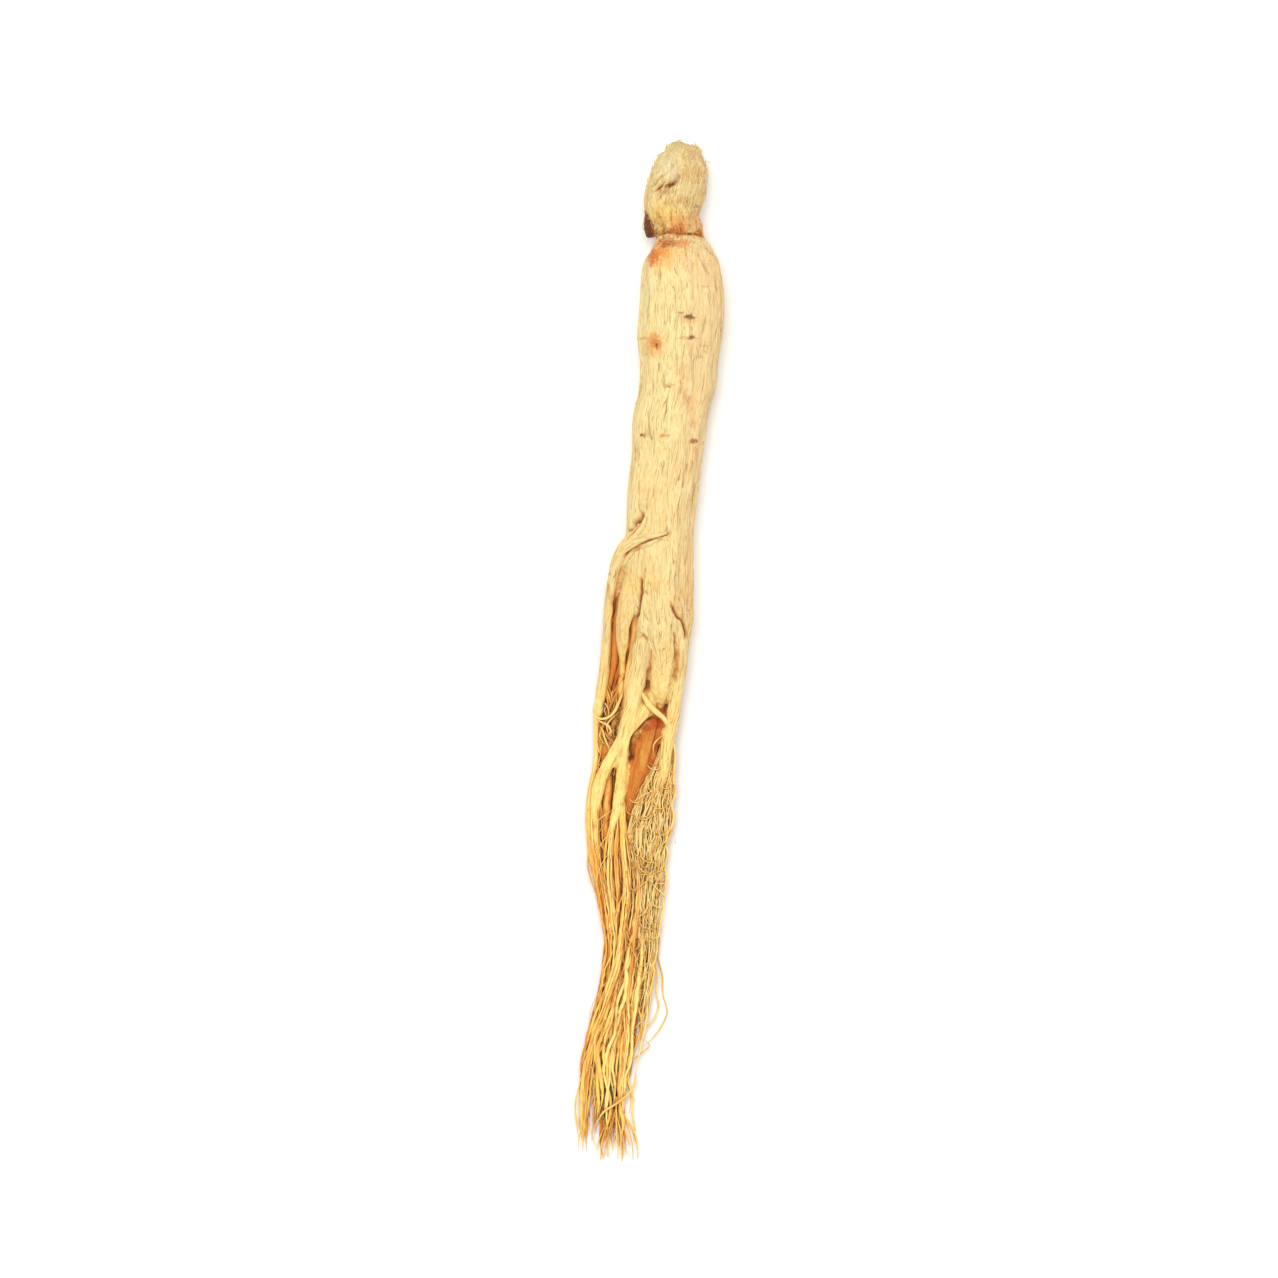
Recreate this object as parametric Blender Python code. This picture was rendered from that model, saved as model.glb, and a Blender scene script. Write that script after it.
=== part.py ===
"""A dried ginseng root, lying on its back.

The head points to +Y, the rootlets to -Y and the face that is seen points to +Z. The root rests on
Z = 0, with the middle of its box over the origin. It grew as one piece, so it is one solid: a lofted
main root, legs that are tapered tubes, and fine rootlets placed by a seeded rule.
"""

import math
import random

import bmesh
import bpy
import numpy as np
from mathutils import Vector, noise

MM = 0.001

# Driving sizes, in millimetres
HEAD_TIP = (8.6, 152.0, 9.0)
TAPROOT_TIP = (2.6, -14.4, 8.0)
RING_SPACING = 4.1
RING_SIDES = 28
RIB_HEIGHT = 0.9
RIBS_AROUND = 3.4
RIB_LENGTH = 45.0
LUMP_HEIGHT = 0.5
LUMP_LENGTH = 16.0
THIN_LEG_RADIUS = 1.6
THIN_LEG_SIDES_RESOLUTION = 1
THICK_LEG_SIDES_RESOLUTION = 2
ROOTLET_SIDES_RESOLUTION = 0
ROOTLET_STEP = 9.5
ROOTLET_JOINING_LENGTH = 16.0
ROOTLET_WANDER = 1.1
ROOTLET_SEED = 23

# Head and main root: along Y, left edge, right edge, thickness, height of the underside
MAIN_ROOT = [
    (151.2, 4.8, 12.4, 5.5, 6.4),
    (149.1, 2.4, 14.5, 10.5, 4.0),
    (147.0, 0.2, 15.7, 13.0, 2.9),
    (143.2, -0.9, 16.8, 15.0, 2.0),
    (137.9, -2.1, 15.9, 15.6, 1.7),
    (132.0, -2.2, 14.6, 14.8, 2.0),
    (127.5, -0.6, 14.9, 13.4, 2.8),
    (124.0, 0.9, 14.5, 12.4, 3.4),
    (121.7, -0.3, 16.8, 15.0, 2.2),
    (119.6, -1.2, 18.9, 17.2, 1.3),
    (117.3, -2.4, 20.1, 19.2, 0.6),
    (111.4, -2.9, 21.2, 21.2, -0.1),
    (105.5, -2.9, 21.8, 21.8, -0.4),
    (99.6, -3.5, 21.7, 22.0, -0.5),
    (93.7, -4.0, 20.9, 21.6, -0.5),
    (87.8, -3.1, 19.9, 20.4, -0.5),
    (81.9, -3.2, 19.6, 20.0, -0.5),
    (76.0, -3.8, 18.0, 19.4, -0.5),
    (70.1, -5.3, 16.8, 19.4, -0.5),
    (58.3, -5.6, 15.0, 18.2, -0.5),
    (46.5, -7.2, 13.3, 17.6, -0.5),
    (34.7, -7.7, 12.2, 17.0, -0.3),
    (28.8, -8.0, 12.0, 16.4, 0.3),
    (22.9, -8.2, 12.0, 15.8, 0.8),
    (17.0, -7.8, 12.0, 15.0, 1.3),
    (11.1, -6.6, 11.6, 13.8, 2.0),
    (5.2, -4.6, 10.6, 12.2, 2.6),
    (-0.7, -2.8, 9.0, 10.2, 3.3),
    (-6.6, -1.2, 7.2, 7.8, 4.4),
    (-11.1, -0.1, 5.6, 5.4, 5.6),
]

# Each leg and lateral root: X, Y, Z and radius along its middle
LEGS = {
    "neck_flange": [
        (1.4, 130.5, 7.5, 2.2),
        (0.0, 127.0, 7.2, 2.0),
        (0.9, 123.5, 7.0, 1.8),
        (3.0, 120.5, 7.2, 1.6),
    ],
    "left_lateral_upper_ridge": [
        (-0.6, 44.5, 13.2, 1.0),
        (-2.1, 40.6, 15.0, 1.3),
        (-5.9, 35.3, 13.0, 1.8),
        (-9.1, 31.0, 10.8, 2.0),
        (-10.8, 26.4, 9.2, 1.8),
    ],
    "left_lateral_lower_ridge": [
        (9.4, 37.8, 11.6, 0.8),
        (2.9, 35.8, 16.4, 1.1),
        (-1.2, 34.4, 16.1, 1.5),
        (-5.3, 32.6, 14.1, 1.7),
        (-8.3, 29.9, 11.6, 1.9),
        (-10.4, 26.4, 9.6, 2.0),
        (-11.2, 22.0, 8.4, 2.1),
        (-12.1, 16.0, 7.5, 1.9),
        (-13.0, 6.0, 6.6, 1.7),
        (-14.2, -6.6, 5.8, 1.6),
        (-15.3, -16.1, 5.2, 1.7),
        (-16.2, -24.3, 4.6, 0.9),
        (-17.4, -38.0, 3.9, 0.7),
        (-18.4, -52.0, 3.2, 0.7),
        (-17.2, -63.0, 2.8, 0.7),
        (-13.0, -80.4, 2.4, 0.6),
        (-12.2, -95.0, 2.2, 0.5),
    ],
    "left_leg": [
        (-2.0, 31.0, 8.0, 2.2),
        (-4.6, 25.5, 9.6, 2.9),
        (-5.9, 20.5, 10.5, 3.3),
        (-6.6, 15.5, 10.6, 3.4),
        (-7.6, 10.0, 10.1, 3.0),
        (-8.0, 4.5, 9.3, 2.5),
        (-7.8, -1.0, 8.2, 1.8),
        (-6.5, -9.6, 6.4, 1.3),
        (-7.1, -17.0, 5.2, 1.1),
        (-8.4, -33.0, 3.8, 0.9),
        (-11.0, -55.0, 3.0, 0.8),
        (-13.6, -75.0, 2.6, 0.7),
        (-12.6, -98.0, 2.2, 0.6),
    ],
    "middle_leg": [
        (-1.0, 10.5, 9.5, 1.8),
        (-2.4, 7.0, 11.0, 2.4),
        (-3.0, 3.5, 11.9, 2.6),
        (-3.3, -1.0, 11.3, 2.7),
        (-4.3, -6.6, 10.4, 2.8),
        (-5.2, -12.5, 9.4, 2.7),
        (-6.4, -18.0, 8.4, 2.8),
        (-8.0, -24.5, 7.2, 2.6),
        (-9.4, -32.0, 6.3, 1.9),
        (-10.3, -45.0, 5.4, 1.4),
        (-11.9, -58.0, 4.7, 1.2),
        (-11.8, -71.5, 4.2, 1.1),
        (-10.2, -86.0, 3.7, 0.9),
        (-10.4, -106.0, 3.2, 0.7),
        (-11.8, -128.0, 2.6, 0.5),
    ],
    "middle_leg_web": [
        (0.4, -6.0, 7.0, 1.8),
        (-1.6, -12.0, 7.8, 2.4),
        (-3.4, -17.5, 7.6, 2.5),
        (-6.0, -23.0, 7.0, 2.2),
        (-8.6, -29.0, 6.2, 1.7),
    ],
    "middle_leg_fork": [
        (-7.6, -22.0, 7.4, 1.9),
        (-11.5, -28.8, 6.4, 1.8),
        (-14.2, -36.1, 5.4, 1.6),
        (-16.0, -47.0, 4.4, 1.4),
        (-15.6, -58.0, 3.8, 1.2),
        (-13.2, -71.0, 3.4, 1.0),
        (-12.0, -84.0, 3.1, 0.9),
        (-13.6, -104.0, 2.7, 0.7),
        (-16.4, -124.0, 2.2, 0.6),
        (-17.6, -143.0, 1.8, 0.4),
    ],
    "right_inner_leg": [
        (6.6, 14.5, 8.8, 1.8),
        (7.8, 10.0, 10.8, 1.9),
        (8.7, 5.2, 11.3, 1.9),
        (8.9, -0.7, 10.2, 1.7),
        (8.0, -7.5, 9.0, 1.6),
        (6.9, -14.5, 8.0, 1.8),
        (6.3, -21.4, 7.0, 1.5),
        (6.3, -31.0, 6.0, 1.1),
        (6.2, -42.0, 5.1, 0.8),
        (4.4, -53.0, 4.5, 0.6),
        (2.8, -64.0, 4.2, 0.5),
    ],
    "right_outer_leg": [
        (7.6, 23.0, 8.6, 1.8),
        (10.0, 17.0, 9.6, 2.0),
        (10.6, 11.5, 9.8, 1.8),
        (10.3, 6.5, 9.2, 1.3),
        (9.6, 1.0, 8.6, 1.1),
        (8.4, -7.0, 7.6, 1.0),
    ],
    "back_leg": [
        (2.4, -6.0, 6.6, 2.4),
        (1.2, -13.0, 5.6, 3.0),
        (-0.4, -20.0, 5.2, 3.5),
        (-1.6, -27.0, 4.6, 3.4),
        (-3.3, -35.5, 3.8, 2.5),
        (-5.6, -42.5, 3.1, 1.9),
        (-7.4, -52.0, 2.6, 1.7),
        (-9.6, -62.0, 2.3, 1.6),
        (-9.9, -72.0, 2.0, 1.5),
        (-9.0, -82.0, 1.9, 1.3),
        (-11.0, -94.0, 1.8, 1.2),
        (-14.8, -107.0, 1.6, 1.1),
        (-18.0, -118.0, 1.5, 0.9),
        (-19.4, -134.0, 1.4, 0.7),
        (-19.4, -148.0, 1.2, 0.5),
    ],
    "long_rootlet": [
        (-3.6, -33.0, 5.0, 0.9),
        (-3.9, -43.0, 4.8, 1.1),
        (-3.3, -56.0, 4.4, 1.4),
        (-3.9, -70.0, 4.0, 1.5),
        (-5.6, -86.0, 3.6, 1.4),
        (-7.1, -101.0, 3.2, 1.3),
        (-7.3, -113.0, 2.9, 1.2),
        (-8.4, -125.0, 2.6, 1.0),
        (-8.8, -138.0, 2.2, 0.6),
    ],
    "long_rootlet_left": [
        (-4.4, -36.0, 4.6, 0.9),
        (-6.6, -46.5, 5.2, 1.1),
        (-7.9, -55.0, 5.1, 1.2),
        (-6.6, -68.0, 4.9, 1.2),
        (-6.4, -80.0, 4.6, 1.2),
        (-9.6, -91.5, 4.2, 1.2),
        (-13.3, -101.0, 3.8, 1.2),
        (-16.9, -111.0, 3.2, 1.2),
        (-19.3, -121.0, 2.6, 1.1),
        (-20.3, -131.0, 2.2, 1.2),
        (-20.5, -146.0, 1.6, 0.7),
    ],
    "cross_rootlet": [
        (-4.0, -10.6, 11.4, 0.8),
        (-0.6, -13.4, 11.2, 0.7),
        (1.8, -15.5, 10.4, 0.7),
        (3.8, -17.3, 9.6, 0.7),
        (6.4, -19.0, 8.0, 0.8),
    ],
    "stray_loop": [
        (1.4, -84.0, 3.4, 0.5),
        (2.3, -94.0, 3.0, 0.5),
        (1.9, -102.0, 2.4, 0.5),
        (-0.4, -107.5, 2.0, 0.5),
        (-3.4, -110.5, 2.2, 0.5),
        (-7.2, -112.0, 2.8, 0.5),
    ],
}

# Outline of the tail that the rootlets fill: along Y, left edge, right edge, lowest and highest middle
TAIL = [
    (-18.0, -12.0, 8.0, 4.0, 8.6),
    (-30.2, -15.8, 7.0, 2.4, 7.0),
    (-42.0, -17.6, 6.6, 1.6, 6.0),
    (-56.8, -17.8, 5.4, 1.3, 5.4),
    (-71.5, -15.6, 3.6, 1.2, 5.0),
    (-86.3, -14.2, 1.6, 1.1, 4.6),
    (-101.0, -16.4, -0.8, 1.0, 4.0),
    (-115.8, -20.4, -3.4, 1.0, 3.4),
    (-130.5, -21.4, -5.0, 0.9, 2.8),
    (-145.3, -21.8, -4.6, 0.8, 2.0),
    (-152.0, -21.8, -4.4, 0.8, 1.6),
]

# Rootlets: the leg that carries them, how many, where they start and end along Y, where they lie
# across the tail (0 left, 1 right), and their radius where they start
ROOTLET_GROUPS = [
    ("right_inner_leg", 11, (-24.0, -38.0), (-84.0, -104.0), (0.62, 1.0), 0.55),
    ("back_leg", 5, (-34.0, -60.0), (-120.0, -151.0), (0.1, 0.6), 0.55),
    ("long_rootlet", 6, (-60.0, -90.0), (-118.0, -150.0), (0.45, 1.0), 0.5),
    ("long_rootlet_left", 5, (-50.0, -95.0), (-126.0, -151.0), (0.0, 0.5), 0.5),
    ("middle_leg", 4, (-34.0, -70.0), (-110.0, -146.0), (0.15, 0.55), 0.5),
    ("middle_leg_fork", 3, (-34.0, -60.0), (-100.0, -140.0), (0.0, 0.3), 0.5),
    ("left_lateral_lower_ridge", 2, (-4.0, -16.0), (-60.0, -84.0), (0.0, 0.25), 0.5),
]

# Old stem scar: a rounded cap on the upper left of the head
SCAR_CAP_PLACE = (4.6, 143.4, 13.4)
SCAR_CAP_RADII = (4.2, 6.4, 3.0)
SCAR_CAP_TURN = math.radians(-32.0)

ROOT_COLOUR = (0.80, 0.58, 0.29, 1.0)
ROOT_ROUGHNESS = 0.78

for leftover in list(bpy.data.objects):
    bpy.data.objects.remove(leftover, do_unlink=True)

root_collection = bpy.data.collections.new("ginseng_root")
joining_collection = bpy.data.collections.new("joined_into_root")
bpy.context.scene.collection.children.link(root_collection)
bpy.context.scene.collection.children.link(joining_collection)


def smooth_rows(rows, places):
    """Rows read from a smooth curve through the given rows, at places from 0 to 1 along it."""
    rows = np.array(rows, dtype=float)
    steps = np.linalg.norm(np.diff(rows[:, :3], axis=0), axis=1)
    knots = np.concatenate(([0.0], np.cumsum(steps)))
    slopes = np.gradient(rows, knots, axis=0)
    along = np.asarray(places, dtype=float) * knots[-1]
    index = np.clip(np.searchsorted(knots, along, side="right") - 1, 0, len(rows) - 2)
    width = (knots[index + 1] - knots[index])[:, None]
    t = (along - knots[index])[:, None] / width
    start_weight = 2 * t**3 - 3 * t**2 + 1
    end_weight = 3 * t**2 - 2 * t**3
    start_slope_weight = (t**3 - 2 * t**2 + t) * width
    end_slope_weight = (t**3 - t**2) * width
    value = start_weight * rows[index] + end_weight * rows[index + 1]
    return value + start_slope_weight * slopes[index] + end_slope_weight * slopes[index + 1]


def length_of(rows):
    """Length along the middle of a route, in its own unit."""
    points = np.array(rows, dtype=float)[:, :3]
    return float(np.linalg.norm(np.diff(points, axis=0), axis=1).sum())


def relief(angle, along):
    """Height of the ribs and lumps on the main root, in millimetres."""
    across = Vector((math.cos(angle), math.sin(angle), 0.0))
    ribs = noise.noise(across * RIBS_AROUND + Vector((0.0, 0.0, along / RIB_LENGTH)))
    lumps = noise.noise(across + Vector((5.0, 0.0, along / LUMP_LENGTH)))
    return RIB_HEIGHT * ribs + LUMP_HEIGHT * lumps


def make_main_root():
    """The head and the main root as one closed loft of unlike sections."""
    stations = np.array(MAIN_ROOT)
    length = stations[0, 0] - stations[-1, 0]
    rings = round(length / RING_SPACING)
    knots = stations[::-1, 0]
    mesh_maker = bmesh.new()
    last_ring = None
    first_ring = None
    for ring in range(rings + 1):
        along = stations[0, 0] - length * ring / rings
        left, right, thickness, underside = (
            float(np.interp(along, knots, stations[::-1, column])) for column in (1, 2, 3, 4)
        )
        this_ring = []
        for side in range(RING_SIDES):
            angle = 2 * math.pi * side / RING_SIDES
            swell = relief(angle, along)
            x = (left + right) / 2 + ((right - left) / 2 + swell) * math.cos(angle)
            z = underside + thickness / 2 + (thickness / 2 + swell) * math.sin(angle)
            this_ring.append(mesh_maker.verts.new((x * MM, along * MM, max(z, 0.0) * MM)))
        if last_ring:
            for side in range(RING_SIDES):
                after = (side + 1) % RING_SIDES
                mesh_maker.faces.new((last_ring[side], this_ring[side], this_ring[after], last_ring[after]))
        first_ring = first_ring or this_ring
        last_ring = this_ring
    head_tip = mesh_maker.verts.new(Vector(HEAD_TIP) * MM)
    taproot_tip = mesh_maker.verts.new(Vector(TAPROOT_TIP) * MM)
    for side in range(RING_SIDES):
        after = (side + 1) % RING_SIDES
        mesh_maker.faces.new((first_ring[side], first_ring[after], head_tip))
        mesh_maker.faces.new((last_ring[after], last_ring[side], taproot_tip))
    bmesh.ops.recalc_face_normals(mesh_maker, faces=mesh_maker.faces)
    mesh = bpy.data.meshes.new("ginseng_root")
    mesh_maker.to_mesh(mesh)
    mesh_maker.free()
    main_root = bpy.data.objects.new("ginseng_root", mesh)
    root_collection.objects.link(main_root)
    return main_root


def mesh_from_curve(curve_object):
    """The curve's tube as a closed mesh object in the joining collection."""
    bpy.context.view_layer.update()
    depsgraph = bpy.context.evaluated_depsgraph_get()
    mesh = bpy.data.meshes.new_from_object(curve_object.evaluated_get(depsgraph))
    welder = bmesh.new()
    welder.from_mesh(mesh)
    bmesh.ops.remove_doubles(welder, verts=welder.verts, dist=1e-7)
    bmesh.ops.recalc_face_normals(welder, faces=welder.faces)
    welder.to_mesh(mesh)
    welder.free()
    tube = bpy.data.objects.new(curve_object.name + "_tube", mesh)
    tube.matrix_world = curve_object.matrix_world
    joining_collection.objects.link(tube)
    bpy.data.objects.remove(curve_object, do_unlink=True)
    return tube


def make_tube(name, rows, sides_resolution):
    """A tapered tube along rows of X, Y, Z and radius in millimetres."""
    curve = bpy.data.curves.new(name, "CURVE")
    curve.dimensions = "3D"
    curve.bevel_depth = MM
    curve.bevel_resolution = sides_resolution
    curve.use_fill_caps = True
    spline = curve.splines.new("POLY")
    spline.points.add(len(rows) - 1)
    for point, (x, y, z, radius) in zip(spline.points, rows):
        point.co = (x * MM, y * MM, z * MM, 1.0)
        point.radius = radius
    curve_object = bpy.data.objects.new(name, curve)
    root_collection.objects.link(curve_object)
    return mesh_from_curve(curve_object)


def make_leg(name, rows):
    """A leg or lateral root, with a ring of faces every two diameters or so."""
    thickest = max(row[3] for row in rows)
    count = max(len(rows) + 1, round(length_of(rows) / (2.6 * thickest)))
    thin = thickest < THIN_LEG_RADIUS
    sides_resolution = THIN_LEG_SIDES_RESOLUTION if thin else THICK_LEG_SIDES_RESOLUTION
    make_tube(name, smooth_rows(rows, np.linspace(0.0, 1.0, count)), sides_resolution)


def tail_at(along):
    """Left edge, right edge, lowest and highest middle of the tail at a place along Y."""
    tail = np.array(TAIL)[::-1]
    return [float(np.interp(along, tail[:, 0], tail[:, column])) for column in (1, 2, 3, 4)]


def leg_at(name, along):
    """Middle of a leg where it passes a place along Y."""
    rows = smooth_rows(LEGS[name], np.linspace(0.0, 1.0, 80))
    return rows[int(np.argmin(np.abs(rows[:, 1] - along)))][:3]


def rootlet_route(draw, carrier, starts, ends, across, radius):
    """Rows of one rootlet: it leaves its leg, finds its own lane in the tail and wanders along it."""
    start = draw.uniform(*starts)
    end = draw.uniform(*ends)
    lane = draw.uniform(*across)
    level = draw.uniform(0.0, 1.0)
    phase = draw.uniform(0.0, 100.0)
    origin = leg_at(carrier, start)
    count = max(5, round((start - end) / ROOTLET_STEP))
    rows = []
    for step in range(count + 1):
        share = step / count
        along = start + (end - start) * share
        left, right, low, high = tail_at(along)
        joined = min(1.0, (start - along) / ROOTLET_JOINING_LENGTH)
        joined = joined * joined * (3 - 2 * joined)
        wander = Vector((phase, along / 17.0, 0.0))
        x = left + lane * (right - left) + ROOTLET_WANDER * 2.0 * noise.noise(wander)
        z = low + level * (high - low) + ROOTLET_WANDER * noise.noise(wander + Vector((7.0, 0.0, 3.0)))
        x = float(origin[0]) + (x - float(origin[0])) * joined
        z = float(origin[2]) + (z - float(origin[2])) * joined
        thickness = radius * (1.0 - 0.45 * share)
        rows.append((x, along, max(z, thickness + 0.05), thickness))
    return rows


def make_rootlets():
    """All the rootlets, group by group, from one seeded draw."""
    draw = random.Random(ROOTLET_SEED)
    for carrier, how_many, starts, ends, across, radius in ROOTLET_GROUPS:
        for number in range(how_many):
            rows = rootlet_route(draw, carrier, starts, ends, across, radius)
            make_tube(f"{carrier}_rootlet_{number}", rows, ROOTLET_SIDES_RESOLUTION)


def make_scar_cap():
    """The rounded scar of the old stem, a flattened ball sunk into the head."""
    bpy.ops.mesh.primitive_uv_sphere_add(segments=12, ring_count=7, radius=1.0)
    cap = bpy.context.object
    cap.name = "scar_cap"
    cap.scale = [radius * MM for radius in SCAR_CAP_RADII]
    cap.rotation_euler = (0.0, math.radians(-12.0), SCAR_CAP_TURN)
    cap.location = Vector(SCAR_CAP_PLACE) * MM
    for collection in list(cap.users_collection):
        collection.objects.unlink(cap)
    joining_collection.objects.link(cap)


def join_into_root(main_root):
    """One union of the main root with everything that grows from it."""
    union = main_root.modifiers.new("grown_together", "BOOLEAN")
    union.operation = "UNION"
    union.operand_type = "COLLECTION"
    union.collection = joining_collection
    union.solver = "MANIFOLD"
    bpy.context.view_layer.update()
    depsgraph = bpy.context.evaluated_depsgraph_get()
    joined = bpy.data.meshes.new_from_object(main_root.evaluated_get(depsgraph))
    main_root.modifiers.clear()
    main_root.data = joined
    for part in list(joining_collection.objects):
        bpy.data.objects.remove(part, do_unlink=True)
    bpy.data.collections.remove(joining_collection)


def keep_largest_body(mesh):
    """Drops loose scraps and the skins of sealed hollows."""
    cleaner = bmesh.new()
    cleaner.from_mesh(mesh)
    bmesh.ops.triangulate(cleaner, faces=cleaner.faces)
    cleaner.verts.ensure_lookup_table()
    unseen = set(cleaner.verts)
    bodies = []
    while unseen:
        seed = unseen.pop()
        body = {seed}
        frontier = [seed]
        while frontier:
            vertex = frontier.pop()
            for edge in vertex.link_edges:
                other = edge.other_vert(vertex)
                if other in unseen:
                    unseen.remove(other)
                    body.add(other)
                    frontier.append(other)
        bodies.append(body)
    bodies.sort(key=len, reverse=True)
    for body in bodies[1:]:
        bmesh.ops.delete(cleaner, geom=list(body), context="VERTS")
    cleaner.to_mesh(mesh)
    cleaner.free()


def root_material():
    """Dried pale skin."""
    material = bpy.data.materials.new("dried_root_skin")
    material.use_nodes = True
    skin = material.node_tree.nodes["Principled BSDF"]
    skin.inputs["Base Color"].default_value = ROOT_COLOUR
    skin.inputs["Roughness"].default_value = ROOT_ROUGHNESS
    skin.inputs["Metallic"].default_value = 0.0
    return material


ginseng_root = make_main_root()
make_scar_cap()
for leg_name, leg_rows in LEGS.items():
    make_leg(leg_name, leg_rows)
make_rootlets()
join_into_root(ginseng_root)
keep_largest_body(ginseng_root.data)
ginseng_root.data.materials.clear()
ginseng_root.data.materials.append(root_material())
ginseng_root.data.shade_smooth()
ginseng_root.data.set_sharp_from_angle(angle=math.radians(50.0))
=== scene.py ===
"""A dried ginseng root, lying on its back on a pale floor.

The head points to +Y, the rootlets to -Y and the face that is seen to +Z. Sizes are in millimetres
until a mesh is made.
"""

import math
import random

import bmesh
import bpy
import numpy as np
from mathutils import Matrix, Vector, noise


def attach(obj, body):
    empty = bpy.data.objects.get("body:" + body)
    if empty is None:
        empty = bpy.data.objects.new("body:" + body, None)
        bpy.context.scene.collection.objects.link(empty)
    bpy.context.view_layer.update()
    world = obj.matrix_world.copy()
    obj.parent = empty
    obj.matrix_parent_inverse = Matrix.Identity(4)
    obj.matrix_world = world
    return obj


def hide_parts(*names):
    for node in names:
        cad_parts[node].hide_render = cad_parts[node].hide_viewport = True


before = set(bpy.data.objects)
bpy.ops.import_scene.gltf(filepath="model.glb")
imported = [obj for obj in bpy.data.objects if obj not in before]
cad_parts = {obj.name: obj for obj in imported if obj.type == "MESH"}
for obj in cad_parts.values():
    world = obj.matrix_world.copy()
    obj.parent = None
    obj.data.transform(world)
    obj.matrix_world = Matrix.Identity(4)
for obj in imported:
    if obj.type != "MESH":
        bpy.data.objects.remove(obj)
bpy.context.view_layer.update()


# Main root and legs. The real piece is one fleshy taproot with the legs that it branched into. Steaming
# and drying shrank its skin into long wavy furrows and pressed the legs against one another.

MM = 0.001

# Along Y, left edge, right edge, thickness and height of the underside
SHOULDER_TO_TIP = [
    (124.9, 3.2, 11.2, 8.2, 5.2),
    (123.9, 1.2, 13.1, 11.6, 3.8),
    (122.3, -0.1, 15.1, 14.4, 2.5),
    (120.2, -1.2, 17.1, 16.8, 1.5),
    (117.3, -2.4, 18.9, 19.2, 0.6),
    (111.4, -2.9, 20.4, 21.2, -0.1),
    (105.5, -2.9, 21.2, 21.8, -0.4),
    (99.6, -3.5, 21.3, 22.0, -0.5),
    (93.7, -4.0, 20.9, 21.6, -0.5),
    (87.8, -3.1, 19.9, 20.4, -0.5),
    (81.9, -3.2, 19.6, 20.0, -0.5),
    (76.0, -3.8, 18.0, 19.4, -0.5),
    (70.1, -5.3, 16.8, 19.4, -0.5),
    (58.3, -5.6, 15.0, 18.2, -0.5),
    (46.5, -7.2, 13.3, 17.6, -0.5),
    (34.7, -7.7, 12.2, 17.0, -0.3),
    (28.8, -8.0, 12.0, 16.4, 0.3),
    (22.9, -8.2, 12.0, 15.8, 0.8),
    (17.0, -7.8, 12.0, 15.0, 1.3),
    (11.1, -6.6, 11.6, 13.8, 2.0),
    (5.2, -4.6, 10.6, 12.2, 2.6),
    (-0.7, -2.8, 9.0, 10.2, 3.3),
    (-6.6, -1.2, 7.2, 7.8, 4.4),
    (-11.1, -0.1, 5.6, 5.4, 5.6),
    (-14.0, 1.6, 3.6, 1.6, 7.2),
]

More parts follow.
